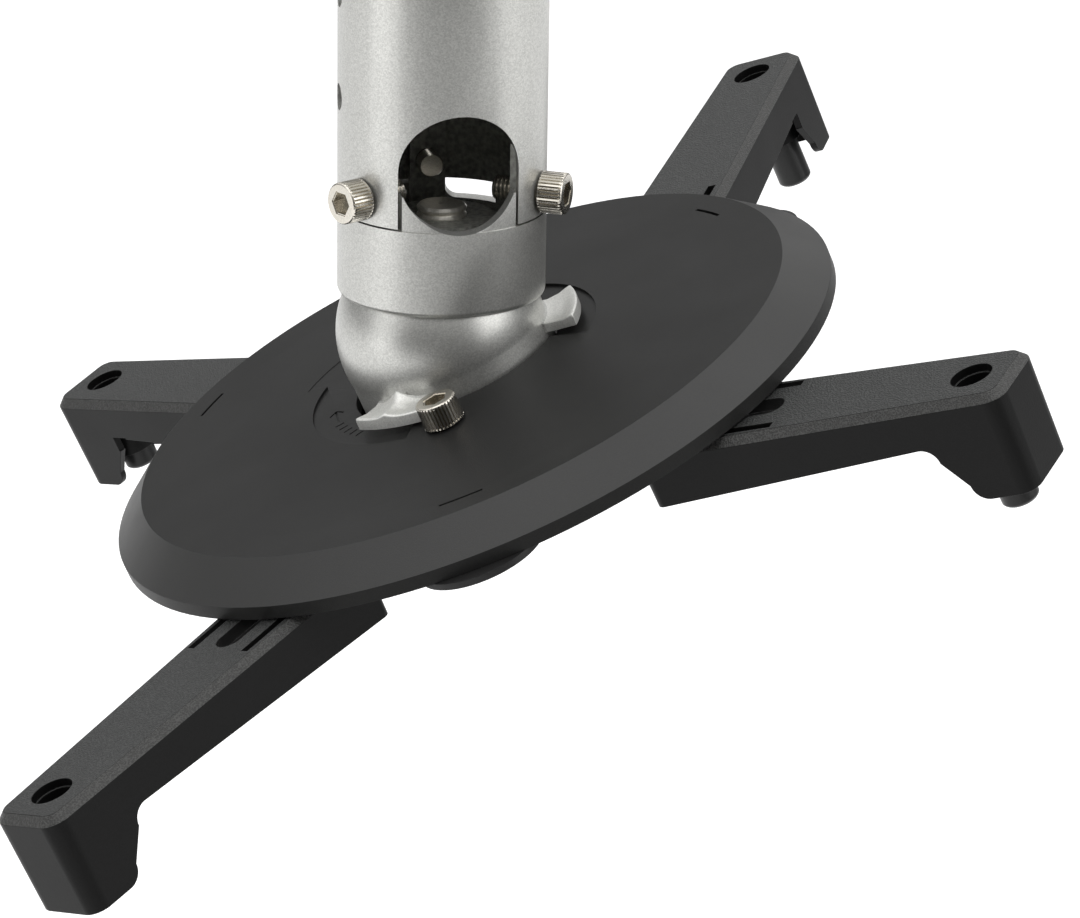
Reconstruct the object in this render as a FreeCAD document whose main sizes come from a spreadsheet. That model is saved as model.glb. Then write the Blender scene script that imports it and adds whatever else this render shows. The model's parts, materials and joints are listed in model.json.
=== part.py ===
import FreeCAD, Part
import math
import os
import Sketcher
from FreeCAD import Placement, Rotation, Vector

# Ceiling mount for a projector.
# A telescopic pole hangs from a ceiling plate and carries a ball joint.
# The ball foot holds a tilted disc by three bayonet lugs, and four hollow arms
# are clamped under the disc so that each can swing and slide to a screw hole
# of the projector.
#
# Frame: origin in the middle of the ceiling plate's mounting face, +Z up along
# the pole. The window in the lower tube looks towards -Y.

OUT = "parts"
os.makedirs(OUT, exist_ok=True)

doc = FreeCAD.newDocument("ProjectorMount")
sheet = doc.addObject("Spreadsheet::Sheet", "Sizes")

SIZES = (
    # ceiling side
    ("CeilingRadius", 70.0, "radius of the ceiling plate"),
    ("CeilingThick", 4.0, "thickness of the ceiling plate"),
    ("CeilingPitch", 55.0, "radius of the circle of the ceiling screws"),
    ("CeilingHole", 3.25, "radius of a ceiling screw hole"),
    ("CableStep", 0.8, "cable hole's radius under the upper tube's bore"),
    ("SocketWall", 5.0, "wall of the socket ring"),
    ("SocketHeight", 30.0, "height of the socket ring"),
    # pole
    ("TubeRadius", 25.0, "outer radius of the lower tube"),
    ("TubeWall", 2.5, "wall of the lower tube"),
    ("TubeLength", 180.0, "length of the lower tube"),
    ("TubeDrop", 270.0, "lower end of the lower tube below the ceiling"),
    ("InnerGap", 0.3, "gap between the two tubes"),
    ("InnerWall", 2.4, "wall of the upper tube"),
    ("InnerEnd", 85.0, "end of the upper tube above the end of the lower tube"),
    ("HeightSlotWidth", 7.0, "width of the height slot"),
    ("HeightSlotWeb", 9.0, "web between the height slot and the upper tube's end"),
    ("HeightSlotUp", 60.0, "upper end of the height slot below the ceiling"),
    ("HeightHole", 3.2, "radius of a height hole"),
    ("HeightHoleFirst", 27.75, "first height hole above the tube end"),
    ("HeightHolePitch", 25.0, "pitch of the height holes"),
    ("HeightHoleCount", 6.0, "number of height holes"),
    ("WindowRadius", 14.4, "radius of the window"),
    ("WindowHeight", 14.0, "centre of the window above the tube end"),
    ("CapHoleHeight", 6.0, "cap screw above the tube end"),
    ("ScrewRadius", 3.0, "shank radius of the M6 screws"),
    ("ScrewHole", 3.2, "clearance hole radius of the M6 screws"),
    ("HeadRadius", 5.0, "head radius of the cap screws"),
    ("HeadHeight", 6.0, "head height of the cap screws"),
    ("HeadStandoff", 0.4, "gap between a cap head and the tube"),
    ("ScrewTip", 5.1, "cap screws beyond the tongues"),
    ("HexFlats", 5.0, "hexagon socket across flats"),
    ("HexDepth", 3.4, "hexagon socket depth"),
    ("NutThick", 4.0, "thickness of the nut plate"),
    ("NutLength", 46.0, "length of the nut plate"),
    # ball cup
    ("CupLip", 0.15, "flat of the cup's lower lip"),
    ("CupEdge", 1.5, "radius of the cup's lower edge"),
    ("BallDrop", 30.9, "ball centre below the tube end"),
    ("BallOver", 0.3, "ball foot's radius over the tube's radius"),
    ("BallGap", 0.1, "running gap of the ball surfaces"),
    ("FloorTop", 2.2, "cup floor below the tube end"),
    ("MoatWidth", 8.3, "width of the moat at the cup floor"),
    ("MoatDepth", 6.0, "moat floor below the tube end"),
    ("CollarWall", 4.0, "wall of the cup's collar"),
    ("TongueDepth", 6.5, "inner side of a tongue inward of the tube's radius"),
    ("TongueGap", 0.25, "gap between a tongue and the tube"),
    ("TongueHalf", 4.35, "half width of a tongue"),
    ("TongueTop", 18.0, "top of a tongue above the tube end"),
    ("KeySideGap", 0.75, "mean gap between the front key and the window's sides"),
    ("KeyShift", 0.2, "front key off the window's middle"),
    ("KeyTop", 8.3, "top of the front key above the tube end"),
    ("KeyThick", 3.7, "thickness of the front key"),
    ("NotchStart", 41.0, "azimuth where the cable notch starts"),
    ("NotchEnd", 77.5, "azimuth where the cable notch ends"),
    ("NotchDepth", 4.0, "depth of the cable notch"),
    # clamping of the ball
    ("BoltRadius", 6.0, "shank radius of the clamp bolt"),
    ("BoltHeadFlats", 18.0, "clamp bolt head across flats"),
    ("BoltHeadHigh", 7.5, "height of the clamp bolt head"),
    ("DomeFlat", 4.9, "dome washer's flat below the top of its inner sphere"),
    ("BoltTip", 0.5, "clamp bolt end above the tube end"),
    ("SpringHeight", 3.0, "height of the disc spring"),
    ("SpringRadius", 11.0, "outer radius of the disc spring"),
    ("SpringSheet", 1.4, "thickness of the disc spring"),
    ("DomeShell", 2.8, "shell of the dome washer"),
    ("DomeAngle", 68.0, "polar angle of the dome washer's rim"),
    ("LinerShell", 1.4, "thickness of the ball liner"),
    ("LinerTop", 42.5, "polar angle where the liner starts"),
    ("LinerEnd", 72.0, "polar angle where the liner ends"),
    # ball foot
    ("FootShell", 3.0, "shell of the ball foot"),
    ("FootOpening", 41.9, "polar angle of the ball foot's opening"),
    ("SkirtStep", 0.4, "foot's skirt inward of the ball's radius"),
    ("LugReach", 8.3, "bayonet lugs outward of the skirt"),
    ("LugHalf", 17.0, "half angle of a bayonet lug"),
    ("LugThick", 2.2, "thickness of an upper lug"),
    ("LugLift", 0.2, "upper lugs above the cover's opening edge"),
    ("LowerLugThick", 2.6, "thickness of a lower lug"),
    ("RibPeak", 1.6, "star rib's upper end below the ball centre"),
    ("RibThick", 3.4, "thickness of the star rib"),
    # disc, in its own frame: heights are below the ball centre
    ("DiscTilt", 23.6, "tilt of the disc"),
    ("DiscTurn", 11.5, "turn of the disc about its axis"),
    ("OpeningGap", 1.4, "cover's opening outward of the skirt"),
    ("OpeningDrop", 8.2, "opening edge below the ball centre"),
    ("FunnelRadius", 500.0, "curve radius of the cover's funnel"),
    ("CreaseRadius", 83.7, "radius of the crease"),
    ("CreaseDrop", 11.3, "crease below the ball centre"),
    ("RimRadius", 93.15, "radius of the rim"),
    ("RimDrop", 19.0, "bevel's outer edge below the ball centre"),
    ("RimHeight", 3.4, "height of the rim's side"),
    ("CoverSkin", 2.2, "thickness of the cover"),
    ("HubWide", 20.7, "width of the cover's thick hub"),
    ("HubSkin", 5.0, "thickness of the hub at the opening"),
    ("RecessDepth", 1.8, "depth of the recesses around the opening"),
    ("RightRecessWide", 10.2, "width of the right recess"),
    ("LeftRecessWide", 11.2, "width of the left recess"),
    ("StepRecessWide", 17.2, "width of the stepped recess"),
    ("RightRecessStart", -21.0, "start of the right recess"),
    ("RightRecessEnd", 55.0, "end of the right recess"),
    ("LeftRecessStart", 155.0, "start of the left recess"),
    ("LeftRecessEnd", 250.0, "end of the left recess"),
    ("StepRecessStart", 104.0, "start of the stepped recess"),
    ("SlitRadius", 77.0, "radius of the arc slits in the cover"),
    ("SlitWide", 0.8, "width of the arc slits"),
    ("SlitHalf", 4.0, "half angle of an arc slit"),
    ("LockOut", 2.3, "lock screw's axis outward of the lugs' edge"),
    ("LockAngle", 265.5, "azimuth of the lock screw on the disc"),
    ("LockLift", 1.2, "lock screw's head above the cover"),
    # base plate
    ("PlateRadius", 89.5, "radius of the base plate"),
    ("PlateThick", 2.5, "thickness of the base plate"),
    ("PlateDrop", 22.6, "underside of the base plate below the ball centre"),
    ("PlateGap", 0.4, "base plate's bore outward of the skirt"),
    ("KeyholeGap", 0.6, "keyhole notches outward of the lugs"),
    ("KeyholeHalf", 19.5, "half angle of a keyhole notch"),
    ("HubRingOut", 4.2, "ring under the cover's hub outward of the keyhole notches"),
    ("HubRingWide", 6.0, "width of the ring under the cover's hub"),
    ("BossRadius", 6.0, "radius of the threaded bosses"),
    ("BossDrop", 16.2, "top of the threaded bosses below the ball centre"),
    ("LobeReach", 97.5, "outer edge of a lobe from the disc's axis"),
    ("LobeRound", 15.3, "radius of a lobe's round edge"),
    ("LobeRoot", 1.2, "straight root of a lobe"),
    ("LobeThick", 1.6, "thickness of a lobe"),
    ("CoverScrewAt", 60.0, "cover screws from the disc's axis"),
    ("CoverBoss", 4.5, "radius of the cover's screw bosses"),
    ("CoverScrewRadius", 2.0, "shank radius of a cover screw"),
    ("CoverScrewHead", 4.0, "head radius of a cover screw"),
    ("CoverScrewLong", 8.0, "length of a cover screw"),
    # arms
    ("ArmDrop", 22.9, "top of the arms below the ball centre"),
    ("ClampRadius", 78.0, "clamp screws from the disc's axis"),
    ("ArmHalf", 11.6, "half width of an arm at its tip hole"),
    ("ArmFlare", 0.034, "gain of half width per millimetre of arm"),
    ("ArmEnd", 11.2, "outer end of an arm beyond its tip hole"),
    ("ArmCorner", 5.0, "corner radius of an arm in plan"),
    ("ArmInnerCorner", 3.0, "corner radius of an arm's inner end"),
    ("ArmDraft", 1.2, "draft of an arm's sides"),
    ("ArmBevel", 2.0, "bevel around an arm's top"),
    ("ArmSkin", 3.0, "top skin of an arm"),
    ("ArmWall", 2.2, "wall of an arm"),
    ("LegDepth", 26.0, "depth of a leg"),
    ("LegFoot", 4.3, "inner edge of a leg at its foot, inward of the hole"),
    ("LegRoot", 9.2, "inner edge of a leg at its root, inward of the hole"),
    ("LegCorner", 4.0, "radius of a leg's lower corner"),
    ("ArchDepth", 11.1, "wall depth beside the leg"),
    ("ArchRadius", 4.0, "radius of the arch beside the leg"),
    ("SquareDepth", 10.7, "top of the square notch beside the leg"),
    ("EndDepth", 15.0, "wall depth at an arm's inner end"),
    ("SlotHalf", 3.5, "half width of the clamp slot"),
    ("SlitLane", 9.4, "guide slits from the arm's middle"),
    ("GuideSlit", 2.2, "width of the guide slits"),
    ("SlitMargin", 2.5, "web between the slits and the arm's inner end"),
    ("SlotMargin", 1.0, "clamp slot's end inward of the slits' end"),
    ("TipRadius", 5.0, "radius of the tip hole"),
    ("TipDepth", 2.0, "depth of the tip hole's wide part"),
    ("TipBoss", 6.8, "radius of the spacer's guide boss"),
    ("TipBossDepth", 20.0, "lower end of the guide boss below the arm's top"),
    ("SpacerRadius", 4.5, "radius of a spacer"),
    ("SpacerGap", 0.05, "running gap of a spacer"),
    ("SpacerBore", 2.6, "bore of a spacer"),
    ("SpacerLength", 16.0, "length of a spacer"),
    # clamp shoes
    ("ShoeOuterLength", 9.0, "clamp shoe from its screw towards the tip"),
    ("ShoeInnerLength", 6.0, "clamp shoe from its screw towards the centre"),
    ("ShoeHalfWidth", 10.4, "half width of a clamp shoe"),
    ("ShoeThick", 4.0, "thickness of a clamp shoe"),
    ("ShoeGap", 0.3, "gap between a shoe, its arm and its screw"),
    ("ShoeRibHalf", 5.5, "half length of a shoe's rib"),
    ("ShoeRibTop", 0.6, "top of a shoe's rib below the arm's top"),
    # the four arms: clamp azimuth on the disc, heading of the arm, reach from the
    # clamp to the tip hole, start of the slits, inner end, drop of the spacer
    ("RightClampAt", -44.7, "clamp azimuth of the right arm"),
    ("RightHeading", -28.1, "heading of the right arm"),
    ("RightReach", 71.9, "reach of the right arm"),
    ("RightSlits", 48.5, "slits of the right arm from the tip hole"),
    ("RightInner", 84.5, "inner end of the right arm from the tip hole"),
    ("RightSpacer", 33.0, "spacer's foot below the right arm's top"),
    ("FrontClampAt", -127.3, "clamp azimuth of the front arm"),
    ("FrontHeading", -132.7, "heading of the front arm"),
    ("FrontReach", 83.7, "reach of the front arm"),
    ("FrontSlits", 57.0, "slits of the front arm from the tip hole"),
    ("FrontInner", 96.5, "inner end of the front arm from the tip hole"),
    ("FrontSpacer", 25.5, "spacer's foot below the front arm's top"),
    ("LeftClampAt", 127.3, "clamp azimuth of the left arm"),
    ("LeftHeading", 137.1, "heading of the left arm"),
    ("LeftReach", 80.2, "reach of the left arm"),
    ("LeftSlits", 57.0, "slits of the left arm from the tip hole"),
    ("LeftInner", 95.0, "inner end of the left arm from the tip hole"),
    ("LeftSpacer", 25.5, "spacer's foot below the left arm's top"),
    ("BackClampAt", 53.0, "clamp azimuth of the back arm"),
    ("BackHeading", 70.2, "heading of the back arm"),
    ("BackReach", 100.0, "reach of the back arm"),
    ("BackSlits", 70.7, "slits of the back arm from the tip hole"),
    ("BackInner", 109.0, "inner end of the back arm from the tip hole"),
    ("BackSpacer", 33.0, "spacer's foot below the back arm's top"),
)

for row, (alias, number, note) in enumerate(SIZES, start=1):
    sheet.set("A%d" % row, note)
    sheet.set("B%d" % row, str(number))
    sheet.setAlias("B%d" % row, alias)
doc.recompute()


class Dim:
    """A size with its number and the expression that ties it to the sheet."""

    def __init__(self, number, text):
        self.number = number
        self.text = text

    @staticmethod
    def of(other):
        if isinstance(other, Dim):
            return other
        return Dim(float(other), repr(float(other)))

    def __add__(self, other):
        other = Dim.of(other)
        return Dim(self.number + other.number, "(%s + %s)" % (self.text, other.text))

    def __sub__(self, other):
        other = Dim.of(other)
        return Dim(self.number - other.number, "(%s - %s)" % (self.text, other.text))

    def __mul__(self, other):
        other = Dim.of(other)
        return Dim(self.number * other.number, "(%s * %s)" % (self.text, other.text))

    def __truediv__(self, other):
        other = Dim.of(other)
        return Dim(self.number / other.number, "(%s / %s)" % (self.text, other.text))

    def __neg__(self):
        return Dim(-self.number, "(0 - %s)" % self.text)


def size(alias):
    """The named size of the sheet."""
    return Dim(float(sheet.get(alias)), "Sizes." + alias)


def cosd(angle):
    return Dim(math.cos(math.radians(angle.number)), "cos(%s * 1 deg)" % angle.text)


def sind(angle):
    return Dim(math.sin(math.radians(angle.number)), "sin(%s * 1 deg)" % angle.text)


def leg_of(hypotenuse, side):
    """The other short side of a right triangle."""
    number = math.sqrt(hypotenuse.number ** 2 - side.number ** 2)
    return Dim(number, "sqrt(%s ^ 2 - %s ^ 2)" % (hypotenuse.text, side.text))


ZERO = Dim.of(0.0)


def polar(radius, angle):
    """A point by radius and azimuth."""
    return (radius * cosd(angle), radius * sind(angle))


def on_ball(radius, angle):
    """A profile point on a sphere around the origin by its polar angle."""
    return (radius * sind(angle), radius * cosd(angle))


# sketches

def new_body(name):
    body = doc.addObject("PartDesign::Body", name)
    body.Label = name
    return body


def origin_item(body, role):
    return [item for item in body.Origin.OriginFeatures if item.Role == role][0]


def new_sketch(body, name, role, lift=None, azimuth=None):
    """A sketch on an origin plane, lifted along its normal or turned about Z."""
    sketch = body.newObject("Sketcher::SketchObject", body.Label + "_" + name)
    sketch.AttachmentSupport = [(origin_item(body, role), "")]
    sketch.MapMode = "FlatFace"
    if azimuth is not None:
        turn = Rotation(Vector(0, 1, 0), azimuth.number % 360.0)
        sketch.AttachmentOffset = Placement(Vector(0, 0, 0), turn)
    if lift is not None:
        sketch.setExpression("AttachmentOffset.Base.z", lift.text)
    return sketch


def pin(sketch, geometry, end, point):
    """Holds one point of a sketch at two sizes."""
    for kind, value in (("DistanceX", point[0]), ("DistanceY", point[1])):
        index = sketch.addConstraint(
            Sketcher.Constraint(kind, -1, 1, geometry, end, value.number))
        if "Sizes" in value.text:
            sketch.setExpression("Constraints[%d]" % index, value.text)


def arc_between(start, end, radius, turn):
    """The short arc from start to end: turn 1 runs counterclockwise, -1 clockwise."""
    chord = end - start
    half = chord.Length / 2.0
    rise = math.sqrt(max(radius ** 2 - half ** 2, 0.0))
    left = Vector(-chord.y, chord.x, 0).normalize()
    centre = (start + end) * 0.5 + left * rise * turn
    first = math.atan2(start.y - centre.y, start.x - centre.x)
    last = math.atan2(end.y - centre.y, end.x - centre.x)
    if turn < 0:
        first, last = last, first
    return Part.ArcOfCircle(Part.Circle(centre, Vector(0, 0, 1), radius), first, last)


def outline(sketch, corners, arcs=None):
    """A closed outline through pinned corners.

    arcs maps the number of a side to its radius and its turn, all other sides
    are straight.
    """
    arcs = arcs or {}
    count = len(corners)
    base = sketch.GeometryCount
    spots = [Vector(x.number, y.number, 0) for x, y in corners]
    sides = []
    ends = []
    for side in range(count):
        start = spots[side]
        end = spots[(side + 1) % count]
        if side in arcs:
            radius, turn = arcs[side]
            sides.append(arc_between(start, end, radius.number, turn))
            ends.append((1, 2) if turn > 0 else (2, 1))
        else:
            sides.append(Part.LineSegment(start, end))
            ends.append((1, 2))
    sketch.addGeometry(sides, False)
    joins = []
    for side in range(count):
        after = (side + 1) % count
        joins.append(Sketcher.Constraint(
            "Coincident", base + side, ends[side][1], base + after, ends[after][0]))
    sketch.addConstraint(joins)
    for side, corner in enumerate(corners):
        pin(sketch, base + side, ends[side][0], corner)
    for side, (radius, turn) in arcs.items():
        index = sketch.addConstraint(
            Sketcher.Constraint("Radius", base + side, radius.number))
        if "Sizes" in radius.text:
            sketch.setExpression("Constraints[%d]" % index, radius.text)
    return sketch


def circle(sketch, centre, radius):
    base = sketch.GeometryCount
    middle = Vector(centre[0].number, centre[1].number, 0)
    sketch.addGeometry(Part.Circle(middle, Vector(0, 0, 1), radius.number), False)
    pin(sketch, base, 3, centre)
    index = sketch.addConstraint(Sketcher.Constraint("Radius", base, radius.number))
    sketch.setExpression("Constraints[%d]" % index, radius.text)
    return sketch


def box(sketch, low, high):
    """A rectangle between two opposite corners."""
    corners = [low, (high[0], low[1]), high, (low[0], high[1])]
    return outline(sketch, corners)


def long_hole(sketch, start, end, lane, half):
    """A slot along the sketch's x axis with round ends."""
    base = sketch.GeometryCount
    low = Vector(start.number, lane.number, 0)
    high = Vector(end.number, lane.number, 0)
    up = Vector(0, half.number, 0)
    quarter = math.pi / 2
    normal = Vector(0, 0, 1)
    sketch.addGeometry([
        Part.ArcOfCircle(Part.Circle(low, normal, half.number), quarter, 3 * quarter),
        Part.ArcOfCircle(Part.Circle(high, normal, half.number), -quarter, quarter),
        Part.LineSegment(low - up, high - up),
        Part.LineSegment(high + up, low + up)], False)
    sketch.addConstraint([
        Sketcher.Constraint("Tangent", base, 2, base + 2, 1),
        Sketcher.Constraint("Tangent", base + 2, 2, base + 1, 1),
        Sketcher.Constraint("Tangent", base + 1, 2, base + 3, 1),
        Sketcher.Constraint("Tangent", base + 3, 2, base, 1)])
    pin(sketch, base, 3, (start, lane))
    pin(sketch, base + 1, 3, (end, lane))
    index = sketch.addConstraint(Sketcher.Constraint("Radius", base, half.number))
    sketch.setExpression("Constraints[%d]" % index, half.text)
    return sketch


def hexagon(sketch, flats):
    """A regular hexagon around the origin by its width across flats."""
    corner = flats / (cosd(Dim.of(30.0)) * 2)
    corners = [polar(corner, Dim.of(60.0 * turn)) for turn in range(6)]
    return outline(sketch, corners)


def sector(sketch, inner, outer, start, end):
    """A ring sector between two azimuths."""
    corners = [polar(inner, start), polar(outer, start),
               polar(outer, end), polar(inner, end)]
    return outline(sketch, corners, {1: (outer, 1), 3: (inner, -1)})


# features

def finish(body, feature, cuts=None):
    """Recomputes and checks that the feature changed the solid the right way."""
    before = body.Shape.Volume if not body.Shape.isNull() else 0.0
    body.Tip = feature
    doc.recompute()
    after = body.Shape.Volume
    if cuts is True and not after < before - 1e-6:
        raise RuntimeError(feature.Name + " cuts nothing")
    if cuts is False and not after > before + 1e-6:
        raise RuntimeError(feature.Name + " adds nothing")
    return feature


def pad(body, sketch, length, down=False, both=False, draft=None):
    feature = body.newObject("PartDesign::Pad", sketch.Label + "_pad")
    feature.Profile = sketch
    feature.setExpression("Length", length.text)
    feature.Reversed = down
    if both:
        feature.SideType = "Symmetric"
    if draft is not None:
        feature.setExpression("TaperAngle", draft.text)
    return finish(body, feature, cuts=False)


def pocket(body, sketch, length=None, up=False, both=False):
    """Cuts against the sketch's normal, or along it with up."""
    feature = body.newObject("PartDesign::Pocket", sketch.Label + "_cut")
    feature.Profile = sketch
    if length is None:
        feature.Type = "ThroughAll"
    else:
        feature.setExpression("Length", length.text)
    feature.Reversed = up
    if both:
        feature.SideType = "Symmetric"
    return finish(body, feature, cuts=True)


def turned(body, sketch):
    """A solid of revolution about the sketch's vertical axis."""
    feature = body.newObject("PartDesign::Revolution", sketch.Label + "_turn")
    feature.Profile = sketch
    feature.ReferenceAxis = (sketch, ["V_Axis"])
    feature.Angle = 360.0
    return finish(body, feature, cuts=False)


def grooved(body, sketch):
    feature = body.newObject("PartDesign::Groove", sketch.Label + "_groove")
    feature.Profile = sketch
    feature.ReferenceAxis = (sketch, ["V_Axis"])
    feature.Angle = 360.0
    return finish(body, feature, cuts=True)


def around(body, feature, count):
    """Repeats a feature evenly around Z."""
    pattern = body.newObject("PartDesign::PolarPattern", feature.Label + "_ring")
    pattern.Originals = [feature]
    pattern.Axis = (origin_item(body, "Z_Axis"), [""])
    pattern.Angle = 360.0
    pattern.Occurrences = count
    return finish(body, pattern)


def lathe(name, corners, arcs=None):
    body = new_body(name)
    sketch = new_sketch(body, "profile", "XZ_Plane")
    outline(sketch, corners, arcs)
    turned(body, sketch)
    return body


def edges_where(feature, test):
    """Names of the edges whose every vertex passes the test."""
    names = []
    for number, edge in enumerate(feature.Shape.Edges, start=1):
        if all(test(vertex.Point) for vertex in edge.Vertexes):
            names.append("Edge%d" % number)
    return names


def bevel(body, test, width):
    base = body.Tip
    feature = body.newObject("PartDesign::Chamfer", body.Label + "_bevel")
    feature.Base = (base, edges_where(base, test))
    feature.setExpression("Size", width.text)
    return finish(body, feature, cuts=True)


def fillet(body, test, radius):
    base = body.Tip
    feature = body.newObject("PartDesign::Fillet", body.Label + "_fillet")
    feature.Base = (base, edges_where(base, test))
    feature.setExpression("Radius", radius.text)
    return finish(body, feature)


# places

def at(x=0.0, y=0.0, z=0.0, turn=0.0):
    return Placement(Vector(x, y, z), Rotation(Vector(0, 0, 1), turn))


TUBE_END = at(z=-size("TubeDrop").number)
BALL = at(z=-size("TubeDrop").number - size("BallDrop").number)
DISC = (BALL * Placement(Vector(), Rotation(Vector(0, 1, 0), -size("DiscTilt").number))
        * at(turn=-size("DiscTurn").number))

nodes = []


def keep(body, placement=None):
    if placement is not None:
        body.Placement = placement
    nodes.append(body)
    return body


# screws

def cap_screw(name, length):
    """Cap screw with hexagon socket: seat at the origin, head up, shank down."""
    radius = size("ScrewRadius")
    head = size("HeadRadius")
    high = size("HeadHeight")
    edge = Dim.of(0.6)
    body = lathe(name, [
        (ZERO, -length),
        (radius - edge, -length),
        (radius, edge - length),
        (radius, ZERO),
        (head, ZERO),
        (head, high - edge),
        (head - edge, high),
        (ZERO, high)])
    sketch = new_sketch(body, "socket", "XY_Plane", high)
    hexagon(sketch, size("HexFlats"))
    pocket(body, sketch, size("HexDepth"))
    return body


# ceiling side

def ceiling_plate():
    body = new_body("ceiling_plate")
    sketch = new_sketch(body, "disc", "XY_Plane")
    circle(sketch, (ZERO, ZERO), size("CeilingRadius"))
    circle(sketch, (ZERO, ZERO), tube_bore() - size("CableStep"))
    pad(body, sketch, size("CeilingThick"), down=True)
    low = -size("CeilingThick")
    radius = size("CeilingRadius").number
    bevel(body, lambda p: p.z < low.number + 0.01 and math.hypot(p.x, p.y) > radius - 0.1,
          Dim.of(1.0))
    holes = new_sketch(body, "screw_hole", "XY_Plane")
    circle(holes, polar(size("CeilingPitch"), Dim.of(45.0)), size("CeilingHole"))
    around(body, pocket(body, holes), 4)
    return keep(body)


def tube_bore():
    """Inner radius of the upper tube."""
    return size("TubeRadius") - size("TubeWall") - size("InnerGap") - size("InnerWall")


def socket_inner():
    return size("TubeRadius") - size("TubeWall") - size("InnerGap") + 0.1


def ceiling_socket():
    inner = socket_inner()
    outer = inner + size("SocketWall")
    top = -size("CeilingThick")
    low = top - size("SocketHeight")
    edge = Dim.of(1.0)
    body = lathe("ceiling_socket", [
        (inner, low), (outer - edge, low), (outer, low + edge),
        (outer, top), (inner, top)])
    sketch = new_sketch(body, "screw_hole", "YZ_Plane")
    circle(sketch, (ZERO, top - size("SocketHeight") / 2), size("ScrewRadius"))
    pocket(body, sketch, both=True)
    return keep(body)


def socket_screws():
    """Two cap screws that hold the upper tube in its socket."""
    reach = size("SocketWall") + size("InnerWall")
    height = -(size("CeilingThick") + size("SocketHeight") / 2).number
    seat = (socket_inner() + size("SocketWall") + 0.2).number
    for name, side in (("socket_screw_right", 1), ("socket_screw_left", -1)):
        body = cap_screw(name, reach)
        keep(body, Placement(Vector(side * seat, 0, height),
                             Rotation(Vector(0, 1, 0), side * 90)))


def upper_tube():
    outer = size("TubeRadius") - size("TubeWall") - size("InnerGap")
    body = new_body("upper_tube")
    top = -size("CeilingThick")
    sketch = new_sketch(body, "ring", "XY_Plane", top)
    circle(sketch, (ZERO, ZERO), outer)
    circle(sketch, (ZERO, ZERO), outer - size("InnerWall"))
    length = size("TubeDrop") - size("InnerEnd") - size("CeilingThick")
    pad(body, sketch, length, down=True)
    slot = new_sketch(body, "height_slot", "YZ_Plane")
    half = size("HeightSlotWidth") / 2
    slot_low = size("TubeDrop") - size("InnerEnd") - size("HeightSlotWeb")
    long_hole_up(slot, -slot_low, -size("HeightSlotUp"), half)
    pocket(body, slot)
    holes = new_sketch(body, "socket_hole", "YZ_Plane")
    circle(holes, (ZERO, top - size("SocketHeight") / 2), size("ScrewHole"))
    pocket(body, holes, both=True)
    return keep(body)


def long_hole_up(sketch, start, end, half):
    """A slot along the sketch's y axis with round ends."""
    corners = [(-half, start + half), (half, start + half),
               (half, end - half), (-half, end - half)]
    outline(sketch, corners, {0: (half * 1.0001, 1), 2: (half * 1.0001, 1)})
    return sketch


# lower pole

def lower_tube():
    radius = size("TubeRadius")
    body = new_body("lower_tube")
    ring = new_sketch(body, "ring", "XY_Plane")
    circle(ring, (ZERO, ZERO), radius)
    circle(ring, (ZERO, ZERO), radius - size("TubeWall"))
    pad(body, ring, size("TubeLength"))
    # the window is an arch that runs out through the tube's end
    arch = new_sketch(body, "window", "XZ_Plane")
    circle(arch, (ZERO, size("WindowHeight")), size("WindowRadius"))
    pocket(body, arch, up=True)
    mouth = new_sketch(body, "window_mouth", "XZ_Plane")
    box(mouth, (-size("WindowRadius"), Dim.of(-1.0)),
        (size("WindowRadius"), size("WindowHeight")))
    pocket(body, mouth, up=True)
    # three holes for the cap screws, the first at the back
    cap = new_sketch(body, "cap_hole", "XZ_Plane")
    circle(cap, (ZERO, size("CapHoleHeight")), size("ScrewHole"))
    around(body, pocket(body, cap), 3)
    # the row of height holes on the -X side
    row = new_sketch(body, "height_hole", "YZ_Plane")
    circle(row, (ZERO, size("HeightHoleFirst")), size("HeightHole"))
    hole = pocket(body, row)
    line = body.newObject("PartDesign::LinearPattern", "height_hole_row")
    line.Originals = [hole]
    line.Direction = (origin_item(body, "Z_Axis"), [""])
    line.setExpression(
        "Length", (size("HeightHolePitch") * (size("HeightHoleCount") - 1)).text)
    line.Occurrences = int(size("HeightHoleCount").number)
    finish(body, line)
    return keep(body, TUBE_END)


def height_bolt_levels():
    """Heights of the two bolts above the tube end: the two topmost holes."""
    last = size("HeightHoleFirst") + size("HeightHolePitch") * (size("HeightHoleCount") - 1)
    return last - size("HeightHolePitch"), last


def height_bolts():
    reach = (size("TubeWall") + size("InnerGap") + size("InnerWall")
             + size("NutThick") + size("HeadStandoff") + 2.5)
    seat = (size("TubeRadius") + size("HeadStandoff")).number
    for name, level in zip(("height_bolt_lower", "height_bolt_upper"),
                           height_bolt_levels()):
        body = cap_screw(name, reach)
        keep(body, TUBE_END * Placement(Vector(-seat, 0, level.number),
                                        Rotation(Vector(0, 1, 0), -90)))


def nut_plate():
    """Curved plate inside the upper tube with two threaded holes."""
    inner = (size("TubeRadius") - size("TubeWall") - size("InnerGap")
             - size("InnerWall") - 0.3)
    half = Dim.of(7.0)
    lower, upper = height_bolt_levels()
    middle = (lower + upper) / 2
    body = new_body("nut_plate")
    start = middle - size("NutLength") / 2
    sketch = new_sketch(body, "section", "XY_Plane", start)
    back = leg_of(inner, half)
    flat = inner - size("NutThick") - 1.3
    outline(sketch, [(-back, half), (-back, -half), (-flat, -half), (-flat, half)],
            {0: (inner, 1)})
    pad(body, sketch, size("NutLength"))
    for name, level in (("lower_thread", lower), ("upper_thread", upper)):
        hole = new_sketch(body, name, "YZ_Plane")
        circle(hole, (ZERO, level), size("ScrewRadius"))
        pocket(body, hole)
    return keep(body, TUBE_END)


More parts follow.
